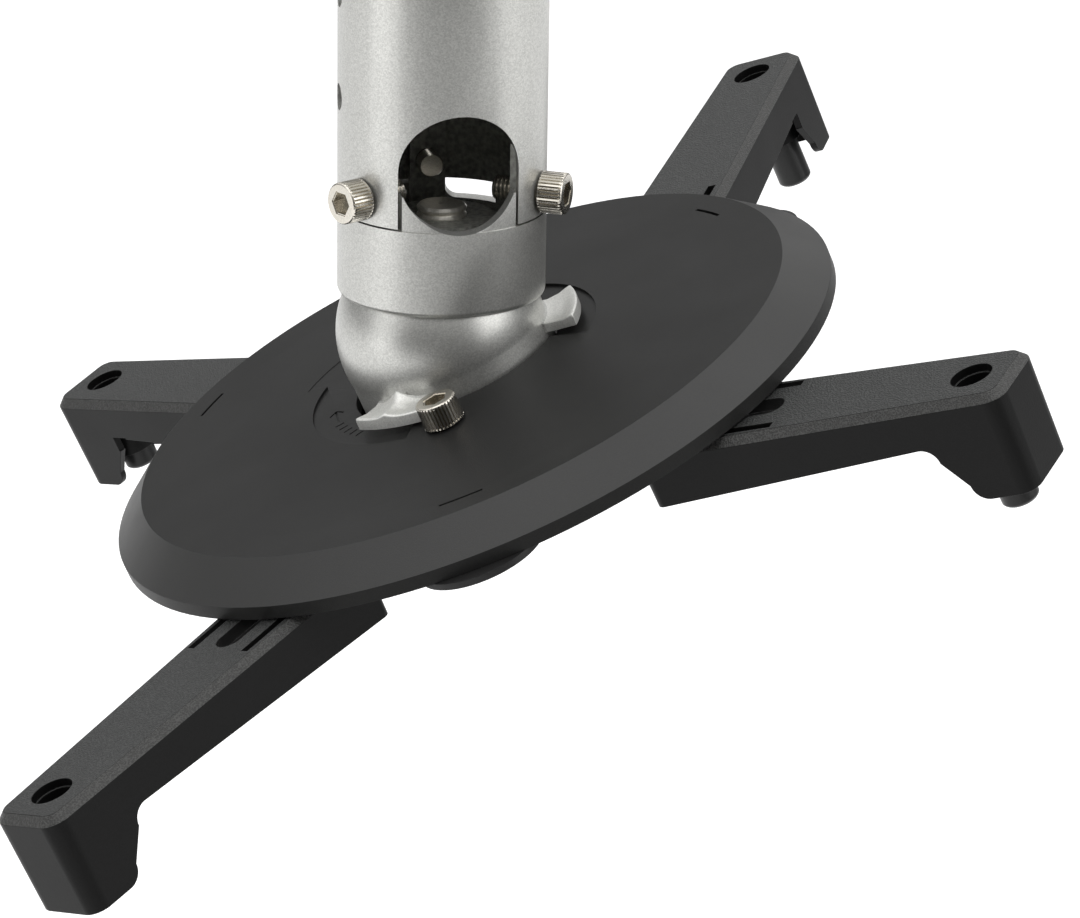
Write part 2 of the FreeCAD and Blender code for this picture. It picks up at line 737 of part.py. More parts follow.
def tube_screws():
    """Three knurled cap screws that hold the cup in the tube."""
    reach = size("HeadStandoff") + size("TongueDepth") + size("ScrewTip")
    seat = (size("TubeRadius") + size("HeadStandoff")).number
    height = size("CapHoleHeight").number
    for name, angle in (("tube_screw_right", -30), ("tube_screw_back", 90),
                        ("tube_screw_left", -150)):
        body = cap_screw(name, reach)
        keep(body, TUBE_END * at(turn=angle)
             * Placement(Vector(seat, 0, height), Rotation(Vector(0, 1, 0), 90)))


def ball_radius():
    """Outer radius of the ball foot."""
    return size("TubeRadius") + size("BallOver")


def ball_cup():
    """Cup that plugs into the tube and seats the ball foot from above."""
    radius = size("TubeRadius")
    edge = size("CupEdge")
    seat = ball_radius() + size("BallGap")
    bore = size("BoltRadius") + 0.05
    drop = size("BallDrop")
    floor = -size("FloorTop")
    moat = -size("MoatDepth")
    lip = radius - edge - size("CupLip")
    low = leg_of(seat, lip) - drop
    collar = radius - size("CollarWall")
    hub = collar - size("MoatWidth")
    body = lathe("ball_cup", [
        (radius, ZERO),
        (collar, ZERO),
        (collar, moat),
        (hub + 0.6, moat),
        (hub, floor),
        (bore, floor),
        (bore, leg_of(seat, bore) - drop),
        (lip, low),
        (radius - edge, low),
        (radius, low + edge)],
        {6: (seat, -1), 8: (edge, 1)})
    # tongues that reach up inside the tube, threaded for the cap screws
    inner = radius - size("TubeWall") - size("TongueGap")
    half = size("TongueHalf")
    back = radius - size("TongueDepth")
    tongue = new_sketch(body, "tongue", "XY_Plane", moat)
    outline(tongue, [(half, back), (half, leg_of(inner, half)),
                     (-half, leg_of(inner, half)), (-half, back)],
            {1: (inner, 1)})
    around(body, pad(body, tongue, size("TongueTop") + size("MoatDepth")), 3)
    thread = new_sketch(body, "thread", "XZ_Plane")
    circle(thread, (ZERO, size("CapHoleHeight")), size("ScrewRadius"))
    around(body, pocket(body, thread), 3)
    # front key that fills the window's mouth below the round opening
    left = size("WindowRadius") - size("KeySideGap") - size("KeyShift")
    right = size("WindowRadius") - size("KeySideGap") + size("KeyShift")
    rear = radius - size("KeyThick")
    key = new_sketch(body, "key", "XY_Plane")
    outline(key, [(-left, -leg_of(radius, left)), (right, -leg_of(radius, right)),
                  (right, -leg_of(rear, right)), (-left, -leg_of(rear, left))],
            {0: (radius, 1), 2: (rear, -1)})
    pad(body, key, size("KeyTop"))
    arch = new_sketch(body, "key_arch", "XZ_Plane", leg_of(rear, right) - 1.0)
    circle(arch, (ZERO, size("WindowHeight")), size("WindowRadius"))
    pocket(body, arch, up=True)
    # cable notch in the collar's top edge, rounded towards the back tongue
    notch = new_sketch(body, "cable_notch", "XY_Plane")
    sector(notch, collar - 0.5, radius + 1.0,
           size("NotchStart"), size("NotchEnd"))
    pocket(body, notch, size("NotchDepth"))
    depth = size("NotchDepth").number
    side = math.tan(math.radians(size("NotchEnd").number))
    fillet(body, lambda spot: abs(spot.z + depth) < 0.01 and spot.x > 0
           and abs(spot.y - spot.x * side) < 0.05, size("NotchDepth") * 0.75)
    return keep(body, TUBE_END)


# clamping of the ball

def foot_inner():
    """Radius of the ball foot's inner sphere."""
    return ball_radius() - size("FootShell")


def dome_outer():
    return foot_inner() - size("LinerShell") - size("BallGap") * 2


def dome_inner():
    return dome_outer() - size("DomeShell")


def bolt_head_top():
    """Bearing face of the bolt's head above the ball centre."""
    return dome_inner() - size("DomeFlat") - size("SpringHeight")


def clamp_bolt():
    """Hexagon bolt from below, threaded into the cup's floor."""
    top = bolt_head_top()
    tip = size("BallDrop") + size("BoltTip")
    radius = size("BoltRadius")
    edge = Dim.of(1.2)
    body = lathe("clamp_bolt", [
        (ZERO, top - 1.0), (radius, top - 1.0), (radius, tip - edge),
        (radius - edge, tip), (ZERO, tip)])
    head = new_sketch(body, "head", "XY_Plane", top)
    hexagon(head, size("BoltHeadFlats"))
    pad(body, head, size("BoltHeadHigh"), down=True)
    return keep(body, BALL)


def spring_washer():
    """Disc spring between the bolt head and the dome washer."""
    low = bolt_head_top()
    bore = size("BoltRadius") + 0.3
    outer = size("SpringRadius")
    sheet_thick = size("SpringSheet")
    high = low + size("SpringHeight")
    body = lathe("spring_washer", [
        (bore, high - sheet_thick), (outer, low),
        (outer, low + sheet_thick), (bore, high)])
    return keep(body, BALL)


def dome_washer():
    """Spherical washer that turns on the bolt."""
    outer = dome_outer()
    inner = dome_inner()
    flat = bolt_head_top() + size("SpringHeight")
    bore = size("BoltRadius") + size("BallGap")
    angle = size("DomeAngle")
    body = lathe("dome_washer", [
        (bore, flat),
        (leg_of(inner, flat), flat),
        on_ball(inner, angle),
        on_ball(outer, angle),
        (bore, leg_of(outer, bore))],
        {1: (inner, -1), 3: (outer, 1)})
    return keep(body, BALL)


def ball_liner():
    """Thin lining ring between the dome washer and the ball foot."""
    outer = foot_inner() - size("BallGap")
    inner = outer - size("LinerShell")
    body = lathe("ball_liner", [
        on_ball(inner, size("LinerTop")), on_ball(inner, size("LinerEnd")),
        on_ball(outer, size("LinerEnd")), on_ball(outer, size("LinerTop"))],
        {0: (inner, -1), 2: (outer, 1)})
    return keep(body, DISC)


def skirt_radius():
    return ball_radius() - size("SkirtStep")


def lug_radius():
    return skirt_radius() + size("LugReach")


def ball_foot():
    """Hollow ball with a skirt, three bayonet lugs and the star rib."""
    outer = ball_radius()
    inner = foot_inner()
    skirt = skirt_radius()
    bore = skirt - size("FootShell")
    opening = size("FootOpening")
    low = -(size("PlateDrop") + size("LowerLugThick"))
    body = lathe("ball_foot", [
        (bore, low),
        (skirt, low),
        (skirt, -leg_of(outer, skirt)),
        on_ball(outer, opening),
        on_ball(inner, opening),
        (bore, -leg_of(inner, bore))],
        {2: (outer, 1), 4: (inner, -1)})
    half = size("LugHalf")
    level = size("LugLift") - size("OpeningDrop")
    upper = new_sketch(body, "upper_lug", "XY_Plane", level)
    sector(upper, skirt - 1.0, lug_radius(), -half, half)
    around(body, pad(body, upper, size("LugThick")), 3)
    lower = new_sketch(body, "lower_lug", "XY_Plane", low)
    sector(lower, skirt - 1.0, lug_radius(), -half, half)
    around(body, pad(body, lower, size("LowerLugThick")), 3)
    # the rib runs down from the ball to the end of the near lug
    rib = new_sketch(body, "rib", "XZ_Plane", azimuth=Dim.of(240.0))
    top = -size("RibPeak")
    foot_level = level + size("LugThick") / 2
    outline(rib, [(skirt - 1.5, top), (leg_of(outer, -top) + 0.1, top),
                  (lug_radius() - 1.0, level + size("LugThick")),
                  (lug_radius() - 1.0, foot_level), (skirt - 1.5, foot_level)])
    pad(body, rib, size("RibThick"), both=True)
    return keep(body, DISC)


# disc

def cover_top():
    return -size("OpeningDrop")


def opening_radius():
    return skirt_radius() + size("OpeningGap")


def lock_spot():
    return polar(lug_radius() + size("LockOut"), size("LockAngle"))


def disc_cover():
    """Thin cover: funnel, crease, bevel and rim, with recesses at the opening."""
    opening = opening_radius()
    top = cover_top()
    skin = size("CoverSkin")
    crease = size("CreaseRadius")
    rim = size("RimRadius")
    rim_low = -(size("RimDrop") + size("RimHeight"))
    hub = opening + size("HubWide")
    hub_low = top - size("HubSkin")
    inner_crease = -(size("CreaseDrop") + skin)
    body = lathe("disc_cover", [
        (opening, top),
        (opening, hub_low),
        (hub, hub_low),
        (hub + 1.0, inner_crease + 0.5),
        (crease - 1.0, inner_crease),
        (rim - skin, -(size("RimDrop") + 0.9)),
        (rim - skin, rim_low),
        (rim, rim_low),
        (rim, -size("RimDrop")),
        (crease, -size("CreaseDrop"))],
        {9: (size("FunnelRadius"), -1)})
    depth = size("RecessDepth")
    inside = opening - 2.0
    for name, wide, start, end in (
            ("right_recess", "RightRecessWide", "RightRecessStart", "RightRecessEnd"),
            ("left_recess", "LeftRecessWide", "LeftRecessStart", "LeftRecessEnd"),
            ("step_recess", "StepRecessWide", "StepRecessStart", "LeftRecessStart")):
        recess = new_sketch(body, name, "XY_Plane", top - depth)
        sector(recess, inside, opening + size(wide), size(start), size(end))
        pocket(body, recess, depth + 1.0, up=True)
    lock = new_sketch(body, "lock_hole", "XY_Plane")
    circle(lock, lock_spot(), size("ScrewHole"))
    pocket(body, lock)
    slit = new_sketch(body, "arc_slit", "XY_Plane")
    middle = Dim.of(30.0)
    sector(slit, size("SlitRadius") - size("SlitWide") / 2,
           size("SlitRadius") + size("SlitWide") / 2,
           middle - size("SlitHalf"), middle + size("SlitHalf"))
    around(body, pocket(body, slit), 3)
    # bosses for the cover screws reach down to the base plate
    floor = size("PlateThick") - size("PlateDrop")
    boss = new_sketch(body, "boss", "XY_Plane", floor)
    circle(boss, polar(size("CoverScrewAt"), middle), size("CoverBoss"))
    around(body, pad(body, boss, inner_crease - floor + 0.8), 3)
    pilot = new_sketch(body, "pilot", "XY_Plane", floor)
    circle(pilot, polar(size("CoverScrewAt"), middle), size("CoverScrewRadius"))
    around(body, pocket(body, pilot, size("CoverScrewLong") - size("PlateThick"), up=True), 3)
    return keep(body, DISC)


ARMS = ("front", "left", "back", "right")


def clamp_spot(arm):
    angle = size(arm.capitalize() + "ClampAt")
    return polar(size("ClampRadius"), angle)


def base_plate():
    """Base plate under the cover: keyhole, three lobes and threaded bosses."""
    low = -size("PlateDrop")
    top = low + size("PlateThick")
    hub = cover_top() - size("HubSkin")
    bore = skirt_radius() + size("PlateGap")
    notch = lug_radius() + size("KeyholeGap")
    ring = notch + size("HubRingOut")
    ring_outer = ring + size("HubRingWide")
    body = lathe("base_plate", [
        (bore, low), (size("PlateRadius"), low),
        (size("PlateRadius"), top), (ring_outer, top),
        (ring_outer, hub), (ring, hub),
        (ring, top), (bore, top)])
    # keyhole notches, turned from the lugs by half their pitch
    keyhole = new_sketch(body, "keyhole", "XY_Plane", top)
    middle = Dim.of(60.0)
    sector(keyhole, bore - 1.0, notch,
           middle - size("KeyholeHalf"), middle + size("KeyholeHalf"))
    around(body, pocket(body, keyhole, size("PlateThick")), 3)
    # lobes under the rim
    lobe_top = -(size("RimDrop") + size("RimHeight"))
    lobe = new_sketch(body, "lobe", "XY_Plane", lobe_top)
    half = size("LobeRound")
    middle = size("LobeReach") - half
    root = middle - size("LobeRoot")
    outline(lobe, [(-half, -root), (-half, -middle), (half, -middle), (half, -root)],
            {1: (half * 1.0001, 1)})
    around(body, pad(body, lobe, size("LobeThick"), down=True), 3)
    # bosses for the clamp screws
    for arm in ARMS:
        spot = clamp_spot(arm)
        boss = new_sketch(body, arm + "_boss", "XY_Plane", top)
        circle(boss, spot, size("BossRadius"))
        pad(body, boss, size("PlateDrop") - size("PlateThick") - size("BossDrop"))
        thread = new_sketch(body, arm + "_thread", "XY_Plane")
        circle(thread, spot, size("ScrewRadius"))
        pocket(body, thread)
    # boss for the lock screw
    spot = lock_spot()
    boss = new_sketch(body, "lock_boss", "XY_Plane", top)
    circle(boss, spot, size("BossRadius") - 0.5)
    pad(body, boss, hub - top)
    thread = new_sketch(body, "lock_thread", "XY_Plane")
    circle(thread, spot, size("ScrewRadius"))
    pocket(body, thread)
    # countersunk holes for the cover screws
    hole = new_sketch(body, "cover_hole", "XY_Plane", top)
    circle(hole, polar(size("CoverScrewAt"), Dim.of(30.0)), size("CoverScrewRadius") + 0.1)
    around(body, pocket(body, hole, size("PlateThick")), 3)
    sink = new_sketch(body, "cover_sink", "XY_Plane", low)
    circle(sink, polar(size("CoverScrewAt"), Dim.of(30.0)), size("CoverScrewHead") + 0.1)
    around(body, pocket(body, sink, sink_depth(), up=True), 3)
    return keep(body, DISC)


def sink_depth():
    return size("PlateThick") / 2


def cover_screws():
    """Three low head screws from below that hold the cover."""
    low = -size("PlateDrop").number
    for number, angle in enumerate((30.0, 150.0, 270.0), start=1):
        name = "cover_screw_%d" % number
        body = lathe(name, [
            (ZERO, ZERO), (size("CoverScrewHead"), ZERO),
            (size("CoverScrewHead"), sink_depth() - 0.05),
            (size("CoverScrewRadius"), sink_depth() - 0.05),
            (size("CoverScrewRadius"), size("CoverScrewLong") - 0.5),
            (ZERO, size("CoverScrewLong") - 0.5)])
        x, y = polar(size("CoverScrewAt"), Dim.of(angle))
        keep(body, DISC * at(x.number, y.number, low))


def lock_screw():
    """Knurled cap screw that bars the bayonet."""
    lift = cover_top() + size("LockLift") - 1.6
    length = lift + size("PlateDrop") - 0.3
    body = cap_screw("lock_screw", length)
    x, y = lock_spot()
    return keep(body, DISC * at(x.number, y.number, lift.number))


# arms

def arm_half(place):
    """Half width of an arm at a distance inward of its tip hole."""
    return size("ArmHalf") + size("ArmFlare") * place


def arm_corner(middle_x, radius):
    """Height of a plan corner's centre and where its arc meets the side."""
    flare = size("ArmFlare")
    secant = Dim(math.sqrt(1 + flare.number ** 2), "sqrt(1 + %s ^ 2)" % flare.text)
    centre = arm_half(middle_x) - radius * secant
    side = (middle_x - radius * flare / secant, centre + radius / secant)
    return centre, side


def mirrored(point):
    return (point[0], -point[1])


def arm_plan(body, inner_end):
    """Tapered plan of the arm with rounded corners."""
    end = -size("ArmEnd")
    corner = size("ArmCorner")
    turn = size("ArmInnerCorner")
    nose, shoulder = arm_corner(end + corner, corner)
    heel, hip = arm_corner(inner_end - turn, turn)
    sketch = new_sketch(body, "plan", "XY_Plane")
    outline(sketch, [
        (end, nose), (end, -nose), mirrored(shoulder), mirrored(hip),
        (inner_end, -heel), (inner_end, heel), hip, shoulder],
        {1: (corner, 1), 3: (turn, 1), 5: (turn, 1), 7: (corner, 1)})
    return sketch


def arm_underside(body, inner_end):
    """Cuts the arched underside beside the leg through both walls."""
    beyond = Dim.of(4.0)
    root = size("LegRoot")
    arch = size("ArchRadius")
    deep = size("LegDepth")
    corner = size("LegCorner")
    sketch = new_sketch(body, "underside", "XZ_Plane")
    outline(sketch, [
        (inner_end + 1.0, -size("EndDepth")),
        (root + arch, -size("ArchDepth")),
        (root, -(size("ArchDepth") + arch)),
        (size("LegFoot"), corner - deep),
        (size("LegFoot") - corner, -deep),
        (size("LegFoot") - corner, -(deep + beyond)),
        (inner_end + 1.0, -(deep + beyond))],
        {1: (arch * 1.02, 1), 3: (corner * 1.02, -1)})
    pocket(body, sketch, both=True)


def arm_square_corner(body, hand):
    """Squares the arch's corner in one wall."""
    root = size("LegRoot")
    arch = size("ArchRadius")
    low = size("ArchDepth") + arch
    sketch = new_sketch(body, "square_corner", "XZ_Plane", ZERO)
    outline(sketch, [
        (root - 0.3, -low), (root - 0.3, -size("SquareDepth")),
        (root + arch + 1.0, -size("SquareDepth")), (root + arch + 1.0, -low)])
    pocket(body, sketch, up=(hand < 0))


def arm(name, hand):
    """One hollow arm: tip hole at the origin, +X inward, top face at zero."""
    label = name.capitalize()
    inner_end = size(label + "Inner")
    slits = size(label + "Slits")
    body = new_body("arm_" + name)
    pad(body, arm_plan(body, inner_end), size("LegDepth"), down=True,
        draft=-size("ArmDraft"))
    bevel(body, lambda p: p.z > -0.01, size("ArmBevel"))
    # channel open below
    wall = size("ArmWall")
    end = -size("ArmEnd") + wall
    back = inner_end - wall
    hollow = new_sketch(body, "hollow", "XY_Plane", -size("ArmSkin"))
    outline(hollow, [
        (end, arm_half(end) - wall - 2.0), (end, -(arm_half(end) - wall - 2.0)),
        (end + 2.0, -(arm_half(end + 2.0) - wall)),
        (back, -(arm_half(back) - wall)), (back, arm_half(back) - wall),
        (end + 2.0, arm_half(end + 2.0) - wall)])
    pocket(body, hollow)
    arm_underside(body, inner_end)
    arm_square_corner(body, hand)
    # guide boss of the spacer, with the tip hole above it
    boss = new_sketch(body, "boss", "XY_Plane", -(size("ArmSkin") - 0.5))
    circle(boss, (ZERO, ZERO), size("TipBoss"))
    pad(body, boss, size("TipBossDepth") - size("ArmSkin") + 0.5, down=True)
    tip = new_sketch(body, "tip", "XY_Plane")
    circle(tip, (ZERO, ZERO), size("TipRadius"))
    pocket(body, tip, size("TipDepth"))
    bore = new_sketch(body, "bore", "XY_Plane")
    circle(bore, (ZERO, ZERO), size("SpacerRadius") + size("SpacerGap"))
    pocket(body, bore)
    # clamp slot and guide slits
    slot_half = size("SlotHalf")
    slot = new_sketch(body, "slot", "XY_Plane")
    long_hole(slot, slits + size("SlotMargin") + slot_half,
              inner_end - size("SlitMargin") - 1.5 - slot_half, ZERO, slot_half)
    pocket(body, slot)
    lane = size("SlitLane")
    half = size("GuideSlit") / 2
    for side, middle in (("left_slit", lane), ("right_slit", -lane)):
        slit = new_sketch(body, side, "XY_Plane")
        box(slit, (slits, middle - half), (inner_end - size("SlitMargin"), middle + half))
        pocket(body, slit)
    return keep(body, arm_place(name))


def arm_place(name):
    """Frame of an arm at its tip hole."""
    return clamp_place(name) * at(x=-size(name.capitalize() + "Reach").number)


def clamp_place(name):
    """Frame of an arm at its clamp screw, level with the arm's top."""
    x, y = clamp_spot(name)
    heading = size(name.capitalize() + "Heading").number
    return DISC * at(x.number, y.number, -size("ArmDrop").number, heading + 180.0)


def shoe(name):
    """Guide plate in the arm's channel with two ribs in the slits."""
    body = new_body("shoe_" + name)
    outer = size("ShoeOuterLength")
    inner = size("ShoeInnerLength")
    width = size("ShoeHalfWidth")
    top = -(size("ArmSkin") + size("ShoeGap"))
    plate = new_sketch(body, "plate", "XY_Plane", top)
    box(plate, (-outer, -width), (inner, width))
    pad(body, plate, size("ShoeThick"), down=True)
    half = size("GuideSlit") / 2 - size("ShoeGap")
    lane = size("SlitLane")
    reach = size("ShoeRibHalf")
    for side, middle in (("left_rib", lane), ("right_rib", -lane)):
        rib = new_sketch(body, side, "XY_Plane", top)
        box(rib, (-reach, middle - half), (reach, middle + half))
        pad(body, rib, -top - size("ShoeRibTop"))
    hole = new_sketch(body, "hole", "XY_Plane")
    circle(hole, (ZERO, ZERO), size("ScrewHole"))
    pocket(body, hole)
    return keep(body, clamp_place(name))


def clamp_screw(name):
    """Cap screw from below through shoe and slot into the base plate."""
    seat = -(size("ArmSkin") + size("ShoeThick") + size("ShoeGap") * 2)
    length = size("ArmDrop") - size("BossDrop") - seat - 0.4
    body = cap_screw("clamp_screw_" + name, length)
    turn = Placement(Vector(0, 0, seat.number), Rotation(Vector(1, 0, 0), 180))
    return keep(body, clamp_place(name) * turn)


def spacer(name):
    """Sleeve that slides in the arm's leg and stands on the projector."""
    radius = size("SpacerRadius")
    bore = size("SpacerBore")
    length = size("SpacerLength")
    edge = Dim.of(0.8)
    body = lathe("spacer_" + name, [
        (bore, ZERO), (radius - edge, ZERO), (radius, edge),
        (radius, length), (bore, length)])
    drop = size(name.capitalize() + "Spacer").number
    return keep(body, arm_place(name) * at(z=-drop))


# the object

ceiling_plate()
ceiling_socket()
socket_screws()
upper_tube()
lower_tube()
height_bolts()
nut_plate()
tube_screws()
ball_cup()
clamp_bolt()
spring_washer()
dome_washer()
ball_liner()
ball_foot()
lock_screw()
disc_cover()
base_plate()
cover_screws()
# the square corner of each arm faces the other arm of its pair
for arm_name, arm_hand in (("front", 1), ("left", -1), ("back", 1), ("right", -1)):
    arm(arm_name, arm_hand)
    shoe(arm_name)
    clamp_screw(arm_name)
    spacer(arm_name)

doc.recompute()

for item in doc.Objects:
    if "Invalid" in item.State or "Error" in item.State:
        raise RuntimeError("%s did not compute: %s" % (item.Name, item.State))

for body in nodes:
    shape = body.Shape
    if shape.isNull() or not shape.isValid():
        raise RuntimeError(body.Label + " has no valid shape")
    if len(shape.Solids) != 1:
        raise RuntimeError("%s has %d solids" % (body.Label, len(shape.Solids)))

for body in nodes:
    body.Shape.exportStep(os.path.join(OUT, body.Label + ".step"))
    print(body.Label, round(body.Shape.Volume, 1))
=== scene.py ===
import json
import logging
import math
from contextlib import contextmanager
from dataclasses import dataclass
from enum import Enum
from typing import Any, Callable, Iterator

import bmesh
import bpy
from mathutils import Matrix, Vector


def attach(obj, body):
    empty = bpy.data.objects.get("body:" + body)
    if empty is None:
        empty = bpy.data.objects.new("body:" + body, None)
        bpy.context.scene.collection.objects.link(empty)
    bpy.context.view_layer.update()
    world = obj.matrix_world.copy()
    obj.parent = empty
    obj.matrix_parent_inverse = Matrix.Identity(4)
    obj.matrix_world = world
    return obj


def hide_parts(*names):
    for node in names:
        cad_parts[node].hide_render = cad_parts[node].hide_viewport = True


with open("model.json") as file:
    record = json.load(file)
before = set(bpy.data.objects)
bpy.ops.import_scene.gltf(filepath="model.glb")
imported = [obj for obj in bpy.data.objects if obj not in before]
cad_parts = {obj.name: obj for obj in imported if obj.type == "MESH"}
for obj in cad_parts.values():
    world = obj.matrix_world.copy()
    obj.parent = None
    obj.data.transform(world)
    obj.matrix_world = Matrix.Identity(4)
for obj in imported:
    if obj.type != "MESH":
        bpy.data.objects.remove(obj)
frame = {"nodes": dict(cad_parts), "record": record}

logging.basicConfig(level=logging.INFO, format="%(message)s")
log = logging.getLogger("mount")

MM = 0.001
WELD = 0.002 * MM
TOUCH = 0.01 * MM
FLAT_ANGLE = 0.6
UPWARD = 0.9
HEXAGON = 6
ORIGIN = (0.0, 0.0, 0.0)
WHITE = (1.0, 1.0, 1.0, 1.0)
Place = tuple[float, float, float]
FaceTest = Callable[[Vector, Vector], bool]
ElementTest = Callable[[Any], bool]


# shader nodes

def remap(tree: bpy.types.NodeTree, value: bpy.types.NodeSocket,
          source: tuple[float, float] = (0.0, 1.0),
          target: tuple[float, float] = (0.0, 1.0)) -> bpy.types.NodeSocket:
    """Adds a node that carries a value from one range to another.

    Args:
        tree: The node tree.
        value: The socket of the value.
        source: The range that the value has.
        target: The range that it gets.

    Returns:
        The socket with the new value.
    """
    node = tree.nodes.new("ShaderNodeMapRange")
    for socket, number in zip(("From Min", "From Max", "To Min", "To Max"), source + target):
        node.inputs[socket].default_value = number
    tree.links.new(value, node.inputs["Value"])
    return node.outputs["Result"]


def graded(tree: bpy.types.NodeTree, value: bpy.types.NodeSocket,
           stops: tuple[tuple[float, Place], tuple[float, Place]],
           interpolation: str = "LINEAR") -> bpy.types.NodeSocket:
    """Adds a ramp between two colours.

    Args:
        tree: The node tree.
        value: The socket that the ramp reads.
        stops: Position and colour of both ends.
        interpolation: How the ramp runs between them.

    Returns:
        The socket with the colour.
    """
    node = tree.nodes.new("ShaderNodeValToRGB")
    node.color_ramp.interpolation = interpolation
    for element, (position, colour) in zip(node.color_ramp.elements, stops):
        element.position = position
        element.color = (*colour, 1.0)
    tree.links.new(value, node.inputs["Fac"])
    return node.outputs["Color"]


def scaled(tree: bpy.types.NodeTree, colour: bpy.types.NodeSocket,
           factor: bpy.types.NodeSocket) -> bpy.types.NodeSocket:
    """Adds a node that multiplies a colour by a factor.

    Args:
        tree: The node tree.
        colour: The socket of the colour.
        factor: The socket of the factor.

    Returns:
        The socket with the product.
    """
    node = tree.nodes.new("ShaderNodeVectorMath")
    node.operation = "SCALE"
    tree.links.new(colour, node.inputs[0])
    tree.links.new(factor, node.inputs["Scale"])
    return node.outputs["Vector"]


# finishes; some are lighter or darker copies that paint light and shade

BRUSH_STRETCH = 0.06
CLOUD_SCALE = 45.0
FLAKE_SCALE = 3200.0
CELL_SMOOTHNESS = 0.6
GLOSS_SPREAD = 0.06
GLOSS_LEAST = 0.02
TONE_BAND = (0.35, 0.65)


class Grain(Enum):
    """How a surface's fine relief runs."""

    EVEN = "even"
    BRUSHED = "brushed"
    LEATHER = "leather"


@dataclass(frozen=True)
class Finish:
    """A paint, plating or plastic with fine relief and slight colour change.

    The grain's size is in millimetres and the colour is linear.
    """

    name: str
    colour: tuple[float, float, float]
    metallic: float = 0.0
    roughness: float = 0.5
    grain: Grain = Grain.EVEN
    grain_size: float = 0.4
    relief: float = 0.1
    mottle: float = 0.08
    flakes: float = 0.0
    specular: float = 0.5

    def material(self) -> bpy.types.Material:
        """Makes the node material once and returns it after that."""
        known = bpy.data.materials.get(self.name + "_finish")
        if known is not None:
            return known
        material = bpy.data.materials.new(self.name + "_finish")
        material.use_nodes = True
        tree = material.node_tree
        nodes, links = tree.nodes, tree.links
        shader = nodes["Principled BSDF"]
        shader.inputs["Metallic"].default_value = self.metallic
        shader.inputs["Specular IOR Level"].default_value = self.specular
        place = nodes.new("ShaderNodeTexCoord")
        stretch = nodes.new("ShaderNodeMapping")
        if self.grain is Grain.BRUSHED:
            stretch.inputs["Scale"].default_value = (1.0, 1.0, BRUSH_STRETCH)
        links.new(place.outputs["Object"], stretch.inputs["Vector"])
        fine = self._fine_grain(tree, stretch)
        cloud = nodes.new("ShaderNodeTexNoise")
        cloud.inputs["Scale"].default_value = CLOUD_SCALE
        cloud.inputs["Detail"].default_value = 4.0
        links.new(place.outputs["Object"], cloud.inputs["Vector"])

        low = tuple(channel * (1.0 - self.mottle) for channel in self.colour)
        high = tuple(min(channel * (1.0 + self.mottle), 1.0) for channel in self.colour)
        colour = graded(tree, fine, ((TONE_BAND[0], low), (TONE_BAND[1], high)))
        if self.flakes > 0.0:
            colour = self._flakes(tree, colour)
        links.new(colour, shader.inputs["Base Color"])

        gloss = remap(tree, cloud.outputs["Fac"], target=(
            max(self.roughness - GLOSS_SPREAD, GLOSS_LEAST),
            min(self.roughness + GLOSS_SPREAD, 1.0)))
        links.new(gloss, shader.inputs["Roughness"])

        bump = nodes.new("ShaderNodeBump")
        bump.inputs["Strength"].default_value = self.relief
        bump.inputs["Distance"].default_value = self.grain_size * MM
        links.new(fine, bump.inputs["Height"])
        links.new(bump.outputs["Normal"], shader.inputs["Normal"])
        return material

    def _fine_grain(self, tree: bpy.types.NodeTree,
                    place: bpy.types.Node) -> bpy.types.NodeSocket:
        """Adds the texture of the relief.

        Args:
            tree: The material's node tree.
            place: The mapping node that the texture reads.

        Returns:
            The socket with the relief's height.
        """
        if self.grain is Grain.LEATHER:
            cells = tree.nodes.new("ShaderNodeTexVoronoi")
            cells.feature = "SMOOTH_F1"
            cells.inputs["Scale"].default_value = 1.0 / MM / self.grain_size
            cells.inputs["Smoothness"].default_value = CELL_SMOOTHNESS
            tree.links.new(place.outputs["Vector"], cells.inputs["Vector"])
            return cells.outputs["Distance"]
        noise = tree.nodes.new("ShaderNodeTexNoise")
        noise.inputs["Scale"].default_value = 1.0 / MM / self.grain_size
        noise.inputs["Detail"].default_value = 3.0
        tree.links.new(place.outputs["Vector"], noise.inputs["Vector"])
        return noise.outputs["Fac"]

    def _flakes(self, tree: bpy.types.NodeTree,
                colour: bpy.types.NodeSocket) -> bpy.types.NodeSocket:
        """Adds lighter and darker flakes, as in metallic paint.

        Args:
            tree: The material's node tree.
            colour: The paint's colour.

        Returns:
            The colour with flakes.
        """
        place = tree.nodes.new("ShaderNodeTexCoord")
        cells = tree.nodes.new("ShaderNodeTexVoronoi")
        cells.inputs["Scale"].default_value = FLAKE_SCALE
        tree.links.new(place.outputs["Object"], cells.inputs["Vector"])
        value = tree.nodes.new("ShaderNodeSeparateColor")
        tree.links.new(cells.outputs["Color"], value.inputs["Color"])
        spread = remap(tree, value.outputs["Red"], target=(1.0 - self.flakes, 1.0 + self.flakes))
        return scaled(tree, colour, spread)


SILVER = Finish("silver_paint", (0.55, 0.55, 0.528), metallic=0.75, roughness=0.36,
                grain_size=0.35, relief=0.05, mottle=0.05, flakes=0.14)
# Painted highlight: a lighter copy of the silver paint for the tops of the lugs, which face the
# light.
LIT_LUG = Finish("lug_paint", (0.74, 0.74, 0.71), metallic=0.6, roughness=0.4, grain_size=0.35,
             relief=0.05, mottle=0.05, flakes=0.1)
